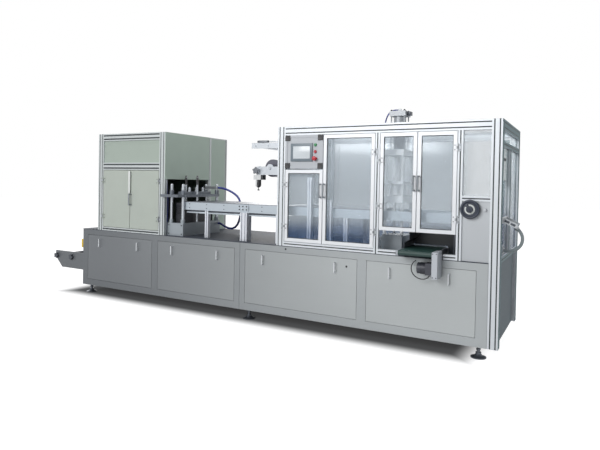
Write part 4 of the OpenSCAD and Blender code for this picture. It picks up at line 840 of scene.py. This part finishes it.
def seal_ring(name, low, high, width, y0, y1):
    """A thin frame round an opening in the X-Z plane, pressed flat against its sheet."""
    size = Vector((high[0] - low[0], high[1] - low[1])) / 1000
    bpy.ops.object.select_all(action="DESELECT")
    bpy.ops.mesh.primitive_plane_add(size=1, location=(0, 0, 0))
    ring = bpy.context.object
    ring.name = name
    ring.scale = (size.x, size.y, 1)
    bpy.ops.object.transform_apply(location=True, rotation=True, scale=True)
    bpy.ops.object.mode_set(mode="EDIT")
    bpy.ops.mesh.select_all(action="SELECT")
    bpy.ops.mesh.inset(thickness=width / 1000, depth=0)
    bpy.ops.mesh.delete(type="FACE")
    bpy.ops.mesh.select_all(action="SELECT")
    bpy.ops.mesh.extrude_region_move(TRANSFORM_OT_translate={"value": (0, 0, (y1 - y0) / 1000)})
    bpy.ops.mesh.select_all(action="SELECT")
    bpy.ops.mesh.normals_make_consistent(inside=False)
    bpy.ops.object.mode_set(mode="OBJECT")
    middle = ((low[0] + high[0]) / 2, y1, (low[1] + high[1]) / 2)
    return settle(ring, place(*middle), to_front)


door_sizes = {"door_1": (2764, 3149, 795, 1454), "door_2": (3156, 3638, 795, 1765),
              "door_3": (3688, 4002, 952, 1765), "door_4": (4009, 4323, 952, 1765)}
door_bar = 30
for door, (x0, x1, z0, z1) in door_sizes.items():
    dress(door_alloy, door + "_frame")
    dress(door_acrylic, door + "_glass")
    dress(pull_steel, door + "_handle")
    seal = seal_ring(door + "_seal", (x0 + door_bar, z0 + door_bar), (x1 - door_bar, z1 - door_bar),
                     width=5, y0=8.5, y1=11)
    fit(seal, seal_rubber_and_slot_shade, door)


# Control box
# A folded grey box in the enclosure's front with black moulded corners. It holds a seven-inch touch panel
# in a blue-grey bezel, a green and a red push button and a red emergency stop. A white enamelled terminal
# box with a black knob stands behind the right end's glazing.
def pick_faces(piece, test):
    """Go to edit mode with only those faces selected whose middle and normal pass the test."""
    bpy.ops.object.select_all(action="DESELECT")
    piece.select_set(True)
    bpy.context.view_layer.objects.active = piece
    bpy.ops.object.mode_set(mode="EDIT")
    bpy.ops.mesh.select_mode(type="FACE")
    bpy.ops.mesh.select_all(action="DESELECT")
    bpy.ops.object.mode_set(mode="OBJECT")
    for face in piece.data.polygons:
        face.select = test(face.center, face.normal)
    bpy.ops.object.mode_set(mode="EDIT")


def faces_front(middle, normal):
    return normal.y < -0.99


box_enamel = Paint("box_enamel")
peel = box_enamel.noise(scale=300)
peel_rough, enamel_rough = 0.1, 0.35
terminal_side = place(4500, 0, 0).x
in_terminal = box_enamel.along("X") > terminal_side
dress(box_enamel.surface({
    "Base Color": box_enamel.blend(in_terminal, tint(190, 195, 201), tint(242, 246, 247)),
    "Roughness": peel * peel_rough + enamel_rough,
    "Normal": box_enamel.bump(peel, strength=0.1, distance=0.0005)}), "control_box")
to_right = (1, 0, 0)
terminal_knob = turned("terminal_box_knob", [(13, -1), (13, 12), (11, 15), (5, 16)], sides=24, along=to_right)
fit(settle(terminal_knob, place(4628, 300, 1552)), black_plastic)
corner_size = 52
box_x, box_z = (2759, 3149), (1464, 1770)
corner_blocks = []
for x in (box_x[0], box_x[1] - corner_size):
    for z in (box_z[0], box_z[1] - corner_size):
        made = block("control_box_corners", (x, -5, z), (x + corner_size, 1, z + corner_size), edge=2)
        pick_faces(made, faces_front)
        bpy.ops.mesh.inset(thickness=0.007, depth=-0.0015)
        bpy.ops.object.mode_set(mode="OBJECT")
        corner_blocks.append(made)
fit(joined(corner_blocks), black_plastic)

bezel_grey = coated("bezel_grey", tint(112, 124, 133), rough=0.4)
bezel = block("touch_panel_bezel", (2819, -6, 1530), (3045, 4, 1694), edge=2.5)
pick_faces(bezel, faces_front)
bpy.ops.mesh.inset(thickness=0.022, depth=0)
bpy.ops.mesh.inset(thickness=0.002, depth=-0.002)
bpy.ops.object.mode_set(mode="OBJECT")
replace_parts(fit(bezel, bezel_grey), "operator_panel")
screen_glass = Paint("screen_glass")
smear = screen_glass.noise(scale=14)
smear_rough, glass_rough = 0.1, 0.15
screen_paint = screen_glass.surface({
    "Base Color": screen_glass.blend(smear, tint(212, 220, 226), tint(228, 234, 238)),
    "Roughness": smear * smear_rough + glass_rough})
fit(block("touch_screen", (2844, -4.6, 1555), (3020, -2, 1669), edge=0.8), screen_paint)

button_x, button_foot, button_zs = 3072, 4, (1678, 1617, 1556)
button_steps = [(14, -1), (14, 8), (13, 10), (11, 10), (11, 13), (10, 14)]
for name, colour, z in (("start_button", tint(52, 140, 86), button_zs[0]),
                        ("stop_button", tint(186, 48, 60), button_zs[1])):
    push = settle(turned(name, button_steps, sides=28, along=to_front), place(button_x, button_foot, z))
    fit(push, coated(name + "_plastic", colour, rough=0.35))
stop_red = coated("emergency_stop_plastic", tint(196, 44, 58), rough=0.32)
mushroom = turned("emergency_stop", [(16, -1), (16, 8), (11, 10), (11, 18), (19, 22), (20, 26), (19, 31),
                                     (15, 34), (8, 35)], sides=32, along=to_front)
fit(settle(mushroom, place(button_x, button_foot, button_zs[2])), stop_red)


# Handwheel
# A navy moulded wheel on a shaft in a steel panel. A pale dial ring, open at one side, and a cap with a
# diagonal pointer bar sit on its face and turn with it, and a small lock knob stands beside it.
navy_plastic = coated("navy_plastic", tint(34, 43, 60), rough=0.36)
window_steel = brushed("window_steel", tint(168, 172, 176), along_x, metal=0.5, rough=0.4, cloud=0.08)
dress(navy_plastic, "handwheel")
dress(window_steel, "handwheel_panel")
wheel_x, wheel_z, wheel_face = 4433, 1156, -27.3
dial_radius, dial_spread, dial_thick, dial_sink = 0.024, 1.62, 0.004, 2.5
bpy.ops.object.select_all(action="DESELECT")
bpy.ops.mesh.primitive_circle_add(vertices=48, radius=dial_radius, fill_type="NOTHING", location=(0, 0, 0))
dial = bpy.context.object
dial.name = "handwheel_dial"
bpy.ops.object.mode_set(mode="EDIT")
bpy.ops.mesh.select_all(action="SELECT")
bpy.ops.mesh.extrude_edges_move(TRANSFORM_OT_translate={"value": (0, 0, 0)})
bpy.ops.transform.resize(value=(dial_spread, dial_spread, 1), center_override=(0, 0, 0))
bpy.ops.object.mode_set(mode="OBJECT")
gap_x, gap_y = -0.3, 0.5
pick_faces(dial, lambda spot, normal: spot.x < gap_x * spot.length and spot.y > gap_y * spot.length)
bpy.ops.mesh.delete(type="FACE")
bpy.ops.mesh.select_all(action="SELECT")
bpy.ops.mesh.extrude_region_move(TRANSFORM_OT_translate={"value": (0, 0, dial_thick)})
bpy.ops.mesh.select_all(action="SELECT")
bpy.ops.mesh.normals_make_consistent(inside=False)
bpy.ops.object.mode_set(mode="OBJECT")
settle(dial, place(wheel_x, wheel_face + dial_sink, wheel_z), to_front)
fit(dial, pale_plastic, "wheel")
hub_face = -40.3
hub_cap = turned("handwheel_cap", [(25, -0.5), (25, 4), (23, 6.5), (12, 7)], sides=32, along=to_front)
settle(hub_cap, place(wheel_x, hub_face, wheel_z))
bar_half, bar_wide, bar_thick, bar_tilt = 33, 7, 6, math.radians(57)
bar_side, bar_seat, bar_lift = -8, 6, 12
pointer = block("handwheel_pointer", (-bar_half, -bar_thick, -bar_wide), (bar_half, 0, bar_wide), edge=2)
settle(pointer, -corner)
pointer.matrix_world = Matrix.Rotation(bar_tilt, 4, "Y")
settle(pointer, place(wheel_x + bar_side, hub_face - bar_seat, wheel_z + bar_lift))
fit(joined([pointer, hub_cap]), navy_plastic, "wheel")


# Sealing press
# A machined press behind the glass, with a pneumatic cylinder above the roof. Hexagon nuts hold the
# cylinder's cap on its four tie rods, and a valve block is screwed to the cap's side.
press_metal = Paint("press_metal")
block_top = place(0, 0, 900).z
milling = press_metal.noise(scale=1.0, stretch=along_x, detail=4)
mill_share, mill_rough, press_rough = 0.1, 0.18, 0.29
press_colour = press_metal.blend(press_metal.along("Z") < block_top, tint(240, 242, 244), tint(140, 147, 153))
dress(press_metal.surface({
    "Base Color": press_metal.blend(milling * mill_share, press_colour, tint(90, 96, 102)),
    "Metallic": 0.1,
    "Roughness": milling * mill_rough + press_rough}), "press_frame", "press_head")
cylinder_alloy = brushed("cylinder_alloy", tint(158, 162, 167), along_x, metal=0.2, rough=0.36, cloud=0.06)
dress(cylinder_alloy, "press_cylinder")
press_x, press_y, cap_top, tie_out = 3736, 350, 1987, 59
tie_spots = [place(press_x + x, press_y + y, cap_top)
             for x in (-tie_out, tie_out) for y in (-tie_out, tie_out)]
tie_nut = turned("tie_rod_nuts", [(9, -1), (10, 0.5), (10, 7), (9, 8), (5, 8), (5, 12), (4, 13)], sides=6)
fit(copied(tie_nut, tie_spots), screw_steel)
fit(block("cylinder_valve", (3808, 322, 1948), (3842, 378, 1982), edge=3), dark_steel)


# Outfeed
# A short green belt conveyor with a pale drive case and a finned motor, under a black moulded hood whose
# near-black is partly painted shade under the track. Four screws hold the front cover of the drive case.
belt_green = coated("belt_green", tint(24, 54, 50), rough=0.5)
motor_grey = coated("motor_grey", tint(56, 58, 66), rough=0.42, metal=0.2)
# The hood's near-black colour is partly its own and partly painted shade under the track.
hood_black = coated("hood_black", tint(24, 33, 42), rough=0.3)
drive_paint = coated("drive_paint", tint(186, 191, 198), rough=0.4, metal=0.2)
dress(drive_paint, "outfeed_frame")
dress(belt_green, "outfeed_belt")
dress(motor_grey, "outfeed_motor")
dress(hood_black, "discharge_chute")
cover_spots = [place(x, -150, z) for x in (4189, 4217) for z in (622, 806)]
fit(copied(cap_screw("drive_cover_screws", radius=4, along=to_front), cover_spots), screw_steel)


# Right end
# A folded steel bracket, bolted to the end post and falling away from it, from which the conduit hangs. Two
# dark pads are pressed on its front bar.
bracket_steel = brushed("bracket_steel", tint(170, 174, 178), along_x, metal=0.7, rough=0.32)
dress(bracket_steel, "end_bracket")
bracket_fall, bracket_z = math.radians(26), 1082
gland_pads = []
for x0, x1 in ((14, 52), (62, 100)):
    pad = block("bracket_gland_pads", (x0, 107.5, -9), (x1, 110, 9), edge=1)
    settle(pad, -corner)
    pad.matrix_world = Matrix.Rotation(bracket_fall, 4, "Y")
    gland_pads.append(settle(pad, place(end_face_x, 0, bracket_z)))
fit(joined(gland_pads), dark_steel)
